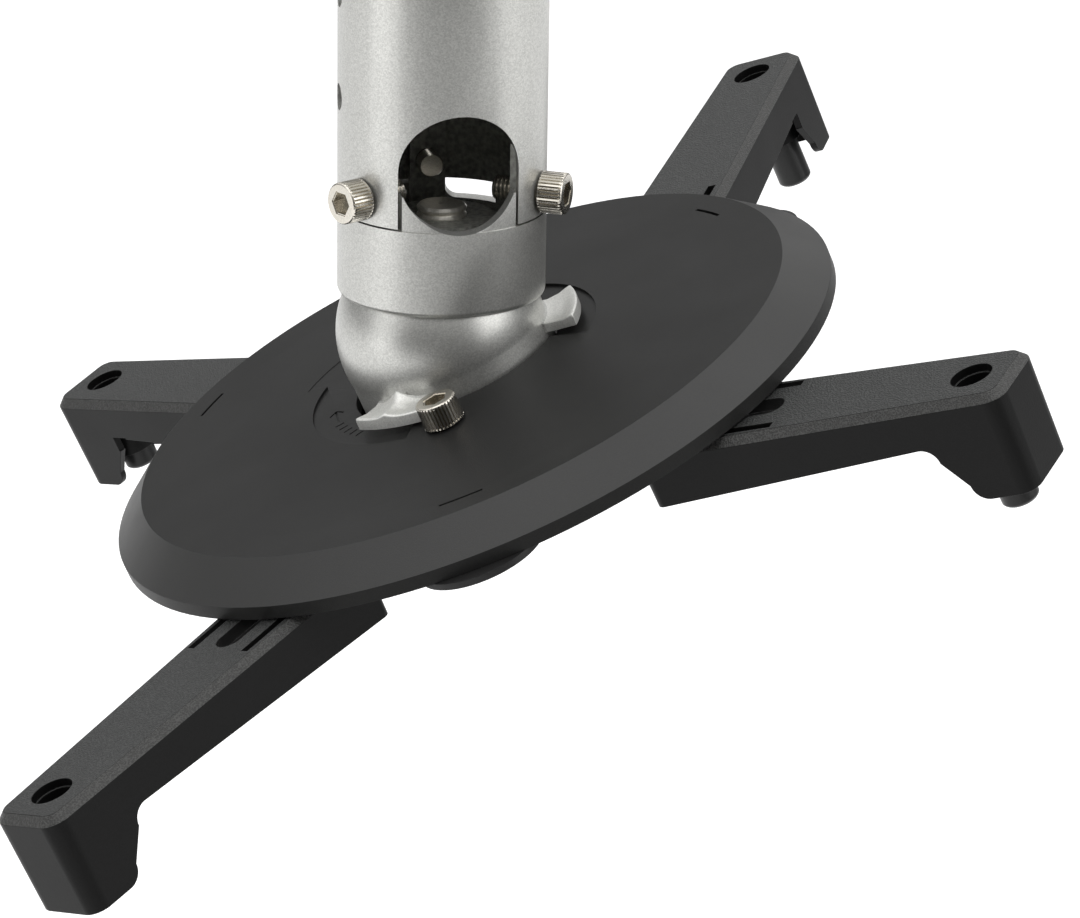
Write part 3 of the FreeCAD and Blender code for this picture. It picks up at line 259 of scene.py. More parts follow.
# Painted shade: a darker, duller paint for the bore and the inside of the cup, where little light
# reaches.
BORE_SHADE = Finish("inside_paint", (0.30, 0.30, 0.275), metallic=0.4, roughness=0.45, grain_size=1.2,
                relief=0.1, mottle=0.3)
NICKEL = Finish("nickel", (0.60, 0.57, 0.51), metallic=1.0, roughness=0.22, grain_size=0.6,
                relief=0.04, mottle=0.05)
STEEL = Finish("bright_steel", (0.84, 0.81, 0.74), metallic=0.8, roughness=0.34,
               grain=Grain.BRUSHED, grain_size=0.5, relief=0.1, mottle=0.08)
LINER = Finish("liner_plastic", (0.62, 0.61, 0.57), roughness=0.45, grain_size=0.8, relief=0.05)
CHARCOAL = Finish("charcoal_paint", (0.022, 0.022, 0.0216), roughness=0.42, grain_size=0.28,
                  relief=0.16, mottle=0.07, specular=0.09)
# Painted highlight: a lighter, glossier copy of the charcoal paint for the disc's outer bevel.
BEVEL = Finish("charcoal_bevel", (0.036, 0.036, 0.0354), roughness=0.42, grain_size=0.28,
               relief=0.12, mottle=0.06, specular=0.32)
BLACK = Finish("black_paint", (0.016, 0.016, 0.016), roughness=0.42, grain_size=0.4, relief=0.08,
               specular=0.25)
ARM_TOP = Finish("arm_paint", (0.028, 0.0292, 0.0286), roughness=0.46, grain=Grain.LEATHER,
                 grain_size=0.45, relief=0.6, mottle=0.4, specular=0.42)
# Painted highlight: a lighter copy of the arm paint for the arms' chamfers.
ARM_EDGE_LIT = Finish("arm_edge", (0.055, 0.055, 0.0535), roughness=0.45, grain=Grain.LEATHER,
                  grain_size=0.4, relief=0.45, mottle=0.3, specular=0.3)
# Painted shade: a much darker paint for the arms' smooth sides and for the rounding between top
# and chamfer, where it draws a dark line.
ARM_SIDE_SHADE = Finish("arm_side", (0.006, 0.006, 0.006), roughness=0.4, grain_size=0.5, relief=0.05,
                  specular=0.12)
PLASTIC = Finish("black_plastic", (0.012, 0.012, 0.012), roughness=0.36, grain_size=0.6,
                 relief=0.05, specular=0.3)


# work on one mesh

def take(piece: bpy.types.Object) -> None:
    """Selects the piece alone and makes it active."""
    bpy.ops.object.select_all(action="DESELECT")
    piece.select_set(True)
    bpy.context.view_layer.objects.active = piece


@contextmanager
def editing(piece: bpy.types.Object, kind: str = "VERT") -> Iterator[None]:
    """Opens the piece in edit mode with nothing selected.

    Args:
        piece: The mesh object.
        kind: VERT, EDGE or FACE.
    """
    take(piece)
    bpy.ops.object.mode_set(mode="EDIT")
    bpy.ops.mesh.select_mode(type=kind)
    bpy.ops.mesh.select_all(action="DESELECT")
    yield
    bpy.ops.object.mode_set(mode="OBJECT")


def pick(piece: bpy.types.Object, kind: str, test: ElementTest) -> None:
    """Selects what passes the test, in edit mode.

    Args:
        piece: The mesh object in edit mode.
        kind: verts, edges or faces.
        test: Takes one element and says whether it is wanted.
    """
    mesh = bmesh.from_edit_mesh(piece.data)
    wanted = [item for item in getattr(mesh, kind) if test(item)]
    for item in wanted:
        item.select_set(True)
    mesh.select_flush_mode()
    bmesh.update_edit_mesh(piece.data)


def slice_at(height: float) -> None:
    """Cuts every face of the edited piece at a height above its origin."""
    bpy.ops.mesh.select_all(action="SELECT")
    bpy.ops.mesh.bisect(plane_co=(0.0, 0.0, height), plane_no=(0.0, 0.0, 1.0))
    bpy.ops.mesh.select_all(action="DESELECT")


def turn_outward() -> None:
    """Turns all normals of the edited piece outward and leaves it selected."""
    bpy.ops.mesh.select_all(action="SELECT")
    bpy.ops.mesh.normals_make_consistent(inside=False)


def settle(piece: bpy.types.Object) -> None:
    """Puts the object's place, turn and scale into its mesh."""
    take(piece)
    bpy.ops.object.transform_apply(location=True, rotation=True, scale=True)


def join(piece: bpy.types.Object, *others: bpy.types.Object) -> None:
    """Joins other pieces into the first one, which keeps its name."""
    take(piece)
    for other in others:
        other.select_set(True)
    bpy.ops.object.join()


def cylinder(name: str, sides: int, radius: float, depth: float,
             middle: float) -> bpy.types.Object:
    """Adds an upright cylinder on the Z axis, with its origin at zero.

    Args:
        name: Name of the piece.
        sides: How many sides it has.
        radius: Its radius.
        depth: Its whole height.
        middle: Height of its middle.

    Returns:
        The cylinder.
    """
    bpy.ops.mesh.primitive_cylinder_add(vertices=sides, radius=radius, depth=depth,
                                        location=(0.0, 0.0, middle))
    piece = bpy.context.object
    piece.name = name
    settle(piece)
    return piece


def apply(piece: bpy.types.Object, modifier: bpy.types.Modifier) -> None:
    """Applies one modifier."""
    take(piece)
    bpy.ops.object.modifier_apply(modifier=modifier.name)


def carve(piece: bpy.types.Object, cutter: bpy.types.Object) -> None:
    """Cuts the cutter's volume out of the piece and removes the cutter."""
    cut = piece.modifiers.new("cut", "BOOLEAN")
    cut.operation = "DIFFERENCE"
    cut.solver = "EXACT"
    cut.object = cutter
    apply(piece, cut)
    bpy.data.objects.remove(cutter)


def stack(piece: bpy.types.Object, count: int, step: float) -> None:
    """Repeats the piece along Z and keeps the copies in its mesh.

    Args:
        piece: The mesh object.
        count: How many there are in all.
        step: From one to the next, negative for downward.
    """
    rows = piece.modifiers.new("rows", "ARRAY")
    rows.count = count
    rows.use_relative_offset = False
    rows.use_constant_offset = True
    rows.constant_offset_displace = (0.0, 0.0, step)
    apply(piece, rows)


def soften(piece: bpy.types.Object, width: float, segments: int = 2,
           angle: float = 30.0) -> None:
    """Rounds the sharp edges and smooths the shading.

    Args:
        piece: The mesh object.
        width: Width of the rounding in metres.
        segments: Faces across the rounding.
        angle: Edges sharper than this many degrees are rounded.
    """
    bevel = piece.modifiers.new("round", "BEVEL")
    bevel.width = width
    bevel.segments = segments
    bevel.limit_method = "ANGLE"
    bevel.angle_limit = math.radians(angle)
    bevel.miter_outer = "MITER_ARC"
    apply(piece, bevel)
    smooth(piece)


def smooth(piece: bpy.types.Object, angle: float = 32.0) -> None:
    """Smooths the shading of all edges flatter than the angle."""
    take(piece)
    bpy.ops.object.shade_smooth_by_angle(angle=math.radians(angle))
    weighted = piece.modifiers.new("weighted", "WEIGHTED_NORMAL")
    weighted.weight = 100
    weighted.keep_sharp = True
    apply(piece, weighted)


def paint(piece: bpy.types.Object, finish: Finish, *others: tuple[Finish, FaceTest]) -> None:
    """Gives the piece its finish, and some faces another one.

    Args:
        piece: The mesh object.
        finish: The finish of all other faces.
        others: Pairs of a finish and a test of a face's middle and normal.
    """
    piece.data.materials.clear()
    for layer in (finish, *(other for other, _ in others)):
        piece.data.materials.append(layer.material())
    for face in piece.data.polygons:
        face.material_index = 0
        for index, (_, test) in enumerate(others, start=1):
            if test(face.center, face.normal):
                face.material_index = index


def copy_solid(node: str, name: str) -> bpy.types.Object:
    """Copies a carried-over solid as a piece with joined, flat faces.

    Args:
        node: Name of the solid.
        name: Name of the new piece.

    Returns:
        The new piece, which stands where the solid does.
    """
    mesh = frame["nodes"][node].data.copy()
    mesh.name = name
    mesh.materials.clear()
    piece = bpy.data.objects.new(name, mesh)
    bpy.context.scene.collection.objects.link(piece)
    take(piece)
    bpy.ops.mesh.customdata_custom_splitnormals_clear()
    with editing(piece):
        bpy.ops.mesh.select_all(action="SELECT")
        bpy.ops.mesh.remove_doubles(threshold=WELD)
        bpy.ops.mesh.dissolve_limited(angle_limit=math.radians(FLAT_ANGLE))
        bpy.ops.mesh.normals_make_consistent(inside=False)
    return piece


def seat(piece: bpy.types.Object, place: Matrix) -> None:
    """Moves the piece's mesh to its place and leaves the object at the origin."""
    piece.matrix_world = place
    settle(piece)


def engrave(piece: bpy.types.Object, strokes: list[tuple[Matrix, Vector]]) -> None:
    """Cuts straight strokes into a piece.

    Args:
        piece: The piece that is cut.
        strokes: Place and size of each stroke's block.
    """
    for place, size in strokes:
        bpy.ops.mesh.primitive_cube_add(size=1.0)
        block = bpy.context.object
        block.scale = size
        settle(block)
        seat(block, place)
        carve(piece, block)


def sector_sheet(inner: float, outer: float, level: float, half_angle: float,
                 across: int = 14, around: int = 28) -> bpy.types.Object:
    """Builds a flat ring sector about the Z axis, with its middle on X.

    Args:
        inner: Inner radius.
        outer: Outer radius.
        level: Height of the sheet.
        half_angle: Half of the sector's angle in degrees.
        across: Faces from the inner to the outer edge.
        around: Faces along the arc.

    Returns:
        The sheet.
    """
    middle = (inner + outer) / 2
    bpy.ops.mesh.primitive_plane_add(size=outer - inner, location=(middle, 0.0, level))
    sheet = bpy.context.object
    settle(sheet)
    with editing(sheet):
        pick(sheet, "verts", lambda vertex: vertex.co.y < 0.0)
        bpy.ops.mesh.delete(type="VERT")
        bpy.ops.mesh.select_all(action="SELECT")
        bpy.ops.transform.resize(value=(1.0, 0.0, 1.0), center_override=ORIGIN)
        bpy.ops.mesh.subdivide(number_cuts=across - 1)
        bpy.ops.mesh.select_all(action="SELECT")
        bpy.ops.transform.rotate(value=-math.radians(half_angle), orient_axis="Z",
                                 center_override=ORIGIN)
        bpy.ops.mesh.spin(steps=around, angle=math.radians(2.0 * half_angle),
                          center=ORIGIN, axis=(0.0, 0.0, 1.0))
    return sheet


def duplicate(piece: bpy.types.Object, name: str) -> bpy.types.Object:
    """Copies a piece with a mesh of its own."""
    twin = piece.copy()
    twin.data = piece.data.copy()
    twin.name = name
    twin.data.name = name
    bpy.context.scene.collection.objects.link(twin)
    return twin


def stand_for(piece: bpy.types.Object, node: str) -> None:
    """Lets the piece ride on its node's body, take the node's place, and reports it.

    Args:
        piece: The finished piece.
        node: The solid it stands for.
    """
    bodies = frame["record"]["behaviour"]["bodies"]
    body = next(name for name, members in bodies.items() if node in members)
    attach(piece, body)
    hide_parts(node)
    log.info("%s: %d faces", node, len(piece.data.polygons))


def soft_copy(node: str, width: float, finish: Finish) -> None:
    """Lets a copy with rounded edges and one finish stand for a solid.

    Args:
        node: Name of the solid.
        width: Width of the rounding.
        finish: The finish of the whole piece.
    """
    piece = copy_solid(node, node + "_soft")
    soften(piece, width)
    paint(piece, finish)
    stand_for(piece, node)


# places

@dataclass(frozen=True)
class Layout:
    """Heights and angles that place the pieces, in metres and degrees."""

    tube_drop: float = 0.2700
    tube_radius: float = 0.0250
    ball_drop: float = 0.0309
    tilt: float = 23.6
    turn: float = 11.5
    screw_level: float = 0.0060
    head_gap: float = 0.0004
    socket_radius: float = 27.5 * MM
    socket_level: float = -19.0 * MM
    lock_radius: float = 35.5 * MM
    lock_angle: float = 265.5
    lock_level: float = -8.6 * MM
    clamp_radius: float = 78.0 * MM
    arm_level: float = -22.9 * MM
    arm_height: float = 7.6 * MM

    def tube_end(self) -> Matrix:
        """Frame at the lower tube's end."""
        return Matrix.Translation((0.0, 0.0, -self.tube_drop))

    def ball(self) -> Matrix:
        """Frame at the ball's centre, upright."""
        return Matrix.Translation((0.0, 0.0, -self.tube_drop - self.ball_drop))

    def disc(self) -> Matrix:
        """Frame of the disc at the ball's centre, with Z along its axis."""
        tilted = Matrix.Rotation(math.radians(-self.tilt), 4, "Y")
        turned = Matrix.Rotation(math.radians(-self.turn), 4, "Z")
        return self.ball() @ tilted @ turned

    def axis(self) -> Vector:
        """Direction of the disc's axis."""
        return self.disc().to_3x3() @ Vector((0.0, 0.0, 1.0))


LAYOUT = Layout()


def turned(angle: float, axis: str = "Z") -> Matrix:
    """A turn about an axis in degrees."""
    return Matrix.Rotation(math.radians(angle), 4, axis)


# screws

@dataclass(frozen=True)
class CapScrew:
    """Knurled cap screw: seat at the origin, head up, thread down."""

    length: float
    head_radius: float = 5.0 * MM
    head_height: float = 6.0 * MM
    shank_radius: float = 3.0 * MM
    flats: float = 5.0 * MM
    socket_depth: float = 3.4 * MM
    flutes: int = 36
    flute_depth: float = 0.5 * MM
    pitch: float = 1.0 * MM
    core: float = 0.88
    sides: int = 36
    band: float = 1.1 * MM
    low_band: float = 0.4 * MM
    rounding: float = 0.55 * MM
    lead_in: float = 0.35 * MM
    lead_depth: float = 0.25 * MM

    def build(self, name: str) -> bpy.types.Object:
        """Builds head and thread.

        Args:
            name: Name of the piece.

        Returns:
            The screw at the origin.
        """
        head = self._head(name)
        self._socket(head)
        join(head, self._thread(name + "_thread"))
        smooth(head, angle=40.0)
        paint(head, NICKEL)
        return head

    def _head(self, name: str) -> bpy.types.Object:
        """Builds the head with straight flutes below a plain band."""
        per_flute = 4
        around = self.flutes * per_flute
        head = cylinder(name, around, self.head_radius, self.head_height, self.head_height / 2)
        top = self.head_height - self.band
        with editing(head):
            slice_at(self.low_band)
            slice_at(top)
            step = math.tau / around
            pick(head, "verts", lambda vertex: self.low_band - TOUCH < vertex.co.z < top + TOUCH
                 and round(math.atan2(vertex.co.y, vertex.co.x) / step) % per_flute == 0
                 and vertex.co.xy.length > self.head_radius / 2)
            shrink = 1.0 - self.flute_depth / self.head_radius
            bpy.ops.transform.resize(value=(shrink, shrink, 1.0), center_override=ORIGIN)
        with editing(head, "EDGE"):
            pick(head, "edges", lambda edge: all(
                abs(vertex.co.z - self.head_height) < TOUCH for vertex in edge.verts))
            bpy.ops.mesh.bevel(offset=self.rounding, segments=3)
        return head

    def _socket(self, head: bpy.types.Object) -> None:
        """Cuts the hexagon socket with a small lead-in."""
        corner = self.flats / math.sqrt(3.0)
        for radius, depth in ((corner, self.socket_depth),
                              (corner + self.lead_in, self.lead_depth)):
            carve(head, cylinder("socket", HEXAGON, radius, depth * 2, self.head_height))

    def _thread(self, name: str) -> bpy.types.Object:
        """Builds one ridge of the thread and repeats it down the shank."""
        crest = -self.pitch / 2
        ridge = cylinder(name, self.sides, self.shank_radius * self.core, self.pitch, crest)
        with editing(ridge):
            slice_at(crest)
            pick(ridge, "verts", lambda vertex: abs(vertex.co.z - crest) < TOUCH)
            grow = 1.0 / self.core
            bpy.ops.transform.resize(value=(grow, grow, 1.0), center_override=(0.0, 0.0, crest))
        count = round(self.length / self.pitch)
        stack(ridge, count, -self.length / count)
        return ridge


@dataclass(frozen=True)
class ScrewSet:
    """Equal screws at several places, built once and copied."""

    screw: CapScrew
    places: tuple[tuple[str, Matrix], ...]

    def build(self) -> None:
        """Builds the first screw, copies it to each place and seats it there."""
        master = self.screw.build("screw_master")
        for node, place in self.places:
            piece = duplicate(master, node + "_knurled")
            seat(piece, place)
            stand_for(piece, node)
        bpy.data.objects.remove(master)


def pole_screws() -> ScrewSet:
    """The three screws of the ball cup."""
    reach = LAYOUT.tube_radius + LAYOUT.head_gap
    places = tuple(
        (node, LAYOUT.tube_end() @ turned(angle)
         @ Matrix.Translation((reach, 0.0, LAYOUT.screw_level)) @ turned(90.0, "Y"))
        for node, angle in (("tube_screw_right", -30.0), ("tube_screw_back", 90.0),
                            ("tube_screw_left", -150.0)))
    return ScrewSet(CapScrew(length=12.0 * MM), places)


def height_bolts() -> ScrewSet:
    """The two bolts that hold the telescopic tubes."""
    reach = LAYOUT.tube_radius + LAYOUT.head_gap
    places = tuple(
        (node, LAYOUT.tube_end() @ Matrix.Translation((-reach, 0.0, level)) @ turned(-90.0, "Y"))
        for node, level in (("height_bolt_lower", 127.75 * MM),
                            ("height_bolt_upper", 152.75 * MM)))
    return ScrewSet(CapScrew(length=12.1 * MM), places)


def socket_screws() -> ScrewSet:
    """The two screws of the ceiling socket."""
    places = tuple(
        (node, Matrix.Translation((side * LAYOUT.socket_radius, 0.0, LAYOUT.socket_level))
         @ turned(side * 90.0, "Y"))
        for node, side in (("socket_screw_right", 1.0), ("socket_screw_left", -1.0)))
    return ScrewSet(CapScrew(length=7.4 * MM), places)


def lock_screws() -> ScrewSet:
    """The screw that bars the bayonet."""
    angle = math.radians(LAYOUT.lock_angle)
    spot = (LAYOUT.lock_radius * math.cos(angle), LAYOUT.lock_radius * math.sin(angle),
            LAYOUT.lock_level)
    place = LAYOUT.disc() @ Matrix.Translation(spot)
    return ScrewSet(CapScrew(length=13.7 * MM), (("lock_screw", place),))


@dataclass(frozen=True)
class ArmPlace:
    """Where one arm is clamped on the disc, and how far its tip hole is."""

    name: str
    clamp_angle: float
    heading: float
    reach: float

    def clamp(self) -> Matrix:
        """Frame at the clamp screw, level with the arm's top, X inward."""
        angle = math.radians(self.clamp_angle)
        spot = (LAYOUT.clamp_radius * math.cos(angle), LAYOUT.clamp_radius * math.sin(angle),
                LAYOUT.arm_level)
        return LAYOUT.disc() @ Matrix.Translation(spot) @ turned(self.heading + 180.0)


ARMS = (
    ArmPlace("front", -127.3, -132.7, 83.7 * MM),
    ArmPlace("left", 127.3, 137.1, 80.2 * MM),
    ArmPlace("back", 53.0, 70.2, 100.0 * MM),
    ArmPlace("right", -44.7, -28.1, 71.9 * MM),
)


def clamp_screws() -> ScrewSet:
    """The four screws that clamp the arms from below."""
    places = tuple(
        ("clamp_screw_" + arm.name,
         arm.clamp() @ Matrix.Translation((0.0, 0.0, -LAYOUT.arm_height)) @ turned(180.0, "X"))
        for arm in ARMS)
    return ScrewSet(CapScrew(length=13.9 * MM), places)


@dataclass(frozen=True)
class ClampBolt:
    """Hexagon bolt whose threaded end shows in the window."""

    radius: float = 6.0 * MM
    pitch: float = 1.75 * MM
    tip: float = 31.4 * MM
    head_top: float = 10.0 * MM
    head_height: float = 7.5 * MM
    flats: float = 18.0 * MM
    sides: int = 64
    rows: int = 5
    core: float = 0.9
    crest: float = 0.2 * MM
    sunk: float = 1.0 * MM
    drill_margin: float = 4.5 * MM
    drill_slope: float = 0.25 * MM
    drill_depth: float = 0.3 * MM
    rounding: float = 0.5 * MM

    def build(self) -> None:
        """Builds shank, threaded end and head at the ball's centre."""
        low = self.tip - self.rows * self.pitch
        shank = cylinder("clamp_bolt_thread", self.sides, self.radius,
                         low - self.head_top + self.sunk, (low + self.head_top - self.sunk) / 2)
        join(shank, self._rings(low), self._head())
        smooth(shank, angle=35.0)
        paint(shank, STEEL)
        seat(shank, LAYOUT.ball())
        stand_for(shank, "clamp_bolt")

    def _rings(self, low: float) -> bpy.types.Object:
        """Builds the ridges of the thread above a height, and drills the last one's end."""
        middle = low + self.pitch / 2
        ridge = cylinder("rings", self.sides, self.radius * self.core, self.pitch, middle)
        with editing(ridge):
            slice_at(middle - self.crest)
            slice_at(middle + self.crest)
            pick(ridge, "verts", lambda vertex: abs(vertex.co.z - middle) < self.crest + TOUCH)
            grow = 1.0 / self.core
            bpy.ops.transform.resize(value=(grow, grow, 1.0), center_override=(0.0, 0.0, middle))
        stack(ridge, self.rows, self.pitch)
        with editing(ridge, "FACE"):
            pick(ridge, "faces", lambda face: face.normal.z > UPWARD
                 and face.calc_center_median().z > self.tip - TOUCH)
            bpy.ops.mesh.inset(thickness=self.drill_margin)
            bpy.ops.mesh.inset(thickness=self.drill_slope, depth=-self.drill_depth)
        return ridge

    def _head(self) -> bpy.types.Object:
        """Builds the hexagon head with rounded corners."""
        head = cylinder("head", HEXAGON, self.flats / math.sqrt(3.0), self.head_height,
                        self.head_top - self.head_height / 2)
        soften(head, self.rounding)
        return head


# pole

def from_axis(point: Vector) -> float:
    """Distance of a point from the pole's axis."""
    return point.xy.length


@dataclass(frozen=True)
class Pole:
    """Lower tube, cup and the painted shade inside them, seen through the window."""

    groove: float = 0.45 * MM
    hub_radius: float = 12.7 * MM
    key_step: float = 0.3 * MM
    key_height: float = 9.0 * MM
    key_half: float = 40.0
    key_lift: float = 0.02 * MM
    key_clear: float = 1.0 * MM
    rounding: float = 0.22 * MM
    tube_bore: float = 23.06 * MM
    cup_bore: float = 20.9 * MM
    # How deep below the tube's end, and how far forward, the painted shade in the cup reaches.
    shade_depth: float = 7.0 * MM
    shade_front: float = -15.0 * MM
    shoulder: float = 0.2 * MM
    hub_edge: float = 0.11 * MM
    hub_band: float = 0.12 * MM

    def build(self) -> None:
        """Builds the softened tubes and the cup."""
        self._tube()
        self._cup()
        for node, width in (("upper_tube", 0.25 * MM), ("ceiling_socket", 0.5 * MM),
                            ("ceiling_plate", 0.5 * MM)):
            soft_copy(node, width, SILVER)

    def _tube(self) -> None:
        """Lower tube with rounded edges and painted shade on its bore's wall."""
        tube = copy_solid("lower_tube", "lower_tube_soft")
        end = -LAYOUT.tube_drop
        with editing(tube):
            pick(tube, "verts", lambda vertex: abs(vertex.co.z - end) < TOUCH)
            bpy.ops.transform.translate(value=(0.0, 0.0, self.groove))
        soften(tube, self.rounding)
        # Painted shade on the bore's wall.
        paint(tube, SILVER, (BORE_SHADE, lambda middle, normal: from_axis(middle) < self.tube_bore))
        stand_for(tube, "lower_tube")

    def _cup(self) -> None:
        """Cup with rounded edges and painted shade inside; a band at the hub's edge keeps the
        silver.
        """
        cup = copy_solid("ball_cup", "ball_cup_soft")
        self._step(cup)
        soften(cup, self.rounding)
        # Painted shade inside the cup, down to its depth, and on the faces behind the front above
        # the shoulder; the band at the hub's edge stays silver.
        low = -LAYOUT.tube_drop - self.shade_depth
        inside = (BORE_SHADE, lambda middle, normal: middle.z > low and (
            (from_axis(middle) < self.cup_bore
             and abs(from_axis(middle) - self.hub_radius + self.hub_edge) > self.hub_band)
            or (middle.z > -LAYOUT.tube_drop + self.shoulder and middle.y > self.shade_front)))
        paint(cup, SILVER, inside)
        stand_for(cup, "ball_cup")

    def _step(self, cup: bpy.types.Object) -> None:
        """Sets the front key back a little, so that the cup's shoulder runs on below it."""
        sheet = sector_sheet(LAYOUT.tube_radius - self.key_step,
                             LAYOUT.tube_radius + self.key_clear,
                             -LAYOUT.tube_drop + self.key_lift, self.key_half,
                             across=1, around=48)
        with editing(sheet, "FACE"):
            bpy.ops.mesh.select_all(action="SELECT")
            bpy.ops.transform.rotate(value=math.radians(90.0), orient_axis="Z",
                                     center_override=ORIGIN)
            bpy.ops.mesh.extrude_region_move(
                TRANSFORM_OT_translate={"value": (0.0, 0.0, self.key_height)})
            turn_outward()
        carve(cup, sheet)


class Falloff(Enum):
    """How a lift fades with the distance."""

    SMOOTH = "SMOOTH"
    SHARP = "SHARP"


@dataclass(frozen=True)
class Lift:
    """How far vertices rise, how wide they draw others along, and how that fades."""

    rise: float
    reach: float
    falloff: Falloff


@dataclass(frozen=True)
class Foot:
    """Ball foot with its dished lugs and the star at the near one.

    Heights are below the ball's centre along the disc's axis.
    """

    near_angle: float = 240.0
    lugs: int = 3
    lug_top: float = -5.8 * MM
    lug_thick: float = 2.2 * MM
    lug_edge: float = 33.2 * MM
    lug_half: float = 17.0
    skirt: float = 24.9 * MM
    rib_half: float = 1.9 * MM
    rib_end: float = -1.0 * MM
    rib_base: float = 0.2 * MM
    rib_sunk: float = 0.1 * MM
    root: float = 0.7 * MM
    overlap: float = 0.05 * MM
    overlap_angle: float = 0.1
    margin: float = 0.1 * MM
    peak_depth: float = 1.0 * MM
    # Distance beyond the skirt where the painted highlight on the lugs starts.
    lit_paint_start: float = 0.5 * MM
    ridge_start: float = 4.0 * MM
    ridge_half: float = 0.3 * MM
    rounding: float = 0.45 * MM
    edge_lift: Lift = Lift(0.7 * MM, 4.5 * MM, Falloff.SMOOTH)
    root_lift: Lift = Lift(1.0 * MM, 3.5 * MM, Falloff.SHARP)
    peak_lift: Lift = Lift(3.2 * MM, 6.5 * MM, Falloff.SHARP)
    ridge_lift: Lift = Lift(0.9 * MM, 5.0 * MM, Falloff.SHARP)

    def build(self) -> None:
        """Builds the foot and a dished lug over each plain one."""
        foot = copy_solid("ball_foot", "ball_foot_soft")
        near = LAYOUT.disc() @ turned(self.near_angle)
        seat(foot, near.inverted())
        with editing(foot):
            pick(foot, "verts", lambda vertex: vertex.co.x > self.skirt
                 and abs(vertex.co.y) < self.rib_half
                 and self.lug_top + self.rib_base < vertex.co.z < self.rib_end)
            bpy.ops.transform.resize(value=(1.0, 1.0, 0.0),
                                     center_override=(0.0, 0.0, self.lug_top - self.rib_sunk))
        seat(foot, near)
        smooth(foot)
        for number in range(self.lugs):
            lug = self._lug(number == 0)
            seat(lug, LAYOUT.disc() @ turned(self.near_angle + 360.0 / self.lugs * number))
            join(foot, lug)
        upright = LAYOUT.disc().inverted()
        # The lugs get the lighter silver as painted highlight; the rest keeps the foot's silver.
        paint(foot, SILVER, (LIT_LUG, lambda middle, normal:
                             (upright @ middle).xy.length > self.skirt + self.lit_paint_start))
        stand_for(foot, "ball_foot")

    def _lug(self, star: bool) -> bpy.types.Object:
        """Builds one lug, dished between the ball and its raised outer edge.

        Args:
            star: Whether a ridge runs from the ball to the lug's outer edge.

        Returns:
            The lug in its own frame, with X outwards.
        """
        inner, outer = self.skirt - self.root, self.lug_edge + self.overlap
        lug = sector_sheet(inner, outer, self.lug_top + self.overlap,
                           self.lug_half + self.overlap_angle)
        lug.name = "lug"
        with editing(lug):
            self._pull(lug, self.edge_lift,
                       lambda vertex: vertex.co.xy.length > outer - self.margin)
            self._pull(lug, self.root_lift,
                       lambda vertex: vertex.co.xy.length < inner + self.margin)
            if star:
                self._pull(lug, self.peak_lift,
                           lambda vertex: vertex.co.xy.length < inner + self.peak_depth
                           and abs(vertex.co.y) < self.ridge_half)
                self._pull(lug, self.ridge_lift,
                           lambda vertex: vertex.co.x > inner + self.ridge_start
                           and abs(vertex.co.y) < self.ridge_half)
        with editing(lug, "EDGE"):
            pick(lug, "edges", lambda edge: edge.is_boundary)
            bpy.ops.mesh.extrude_region_move(
                TRANSFORM_OT_translate={"value": (0.0, 0.0, -self.lug_thick)})
        with editing(lug, "EDGE"):
            turn_outward()
            bpy.ops.mesh.select_all(action="DESELECT")
            pick(lug, "edges", lambda edge: len(edge.link_faces) == 2
                 and edge.calc_face_angle() > 1.0)
            bpy.ops.mesh.bevel(offset=self.rounding, segments=3)
        smooth(lug)
        return lug

    def _pull(self, lug: bpy.types.Object, lift: Lift, test: ElementTest) -> None:
        """Lifts some vertices of the edited lug and draws their neighbours along.

        Args:
            lug: The lug in edit mode.
            lift: How far, how wide and how fading.
            test: Picks the vertices.
        """
        bpy.ops.mesh.select_all(action="DESELECT")
        pick(lug, "verts", test)
        bpy.ops.transform.translate(
            value=(0.0, 0.0, lift.rise), use_proportional_edit=True,
            proportional_edit_falloff=lift.falloff.value, proportional_size=lift.reach)


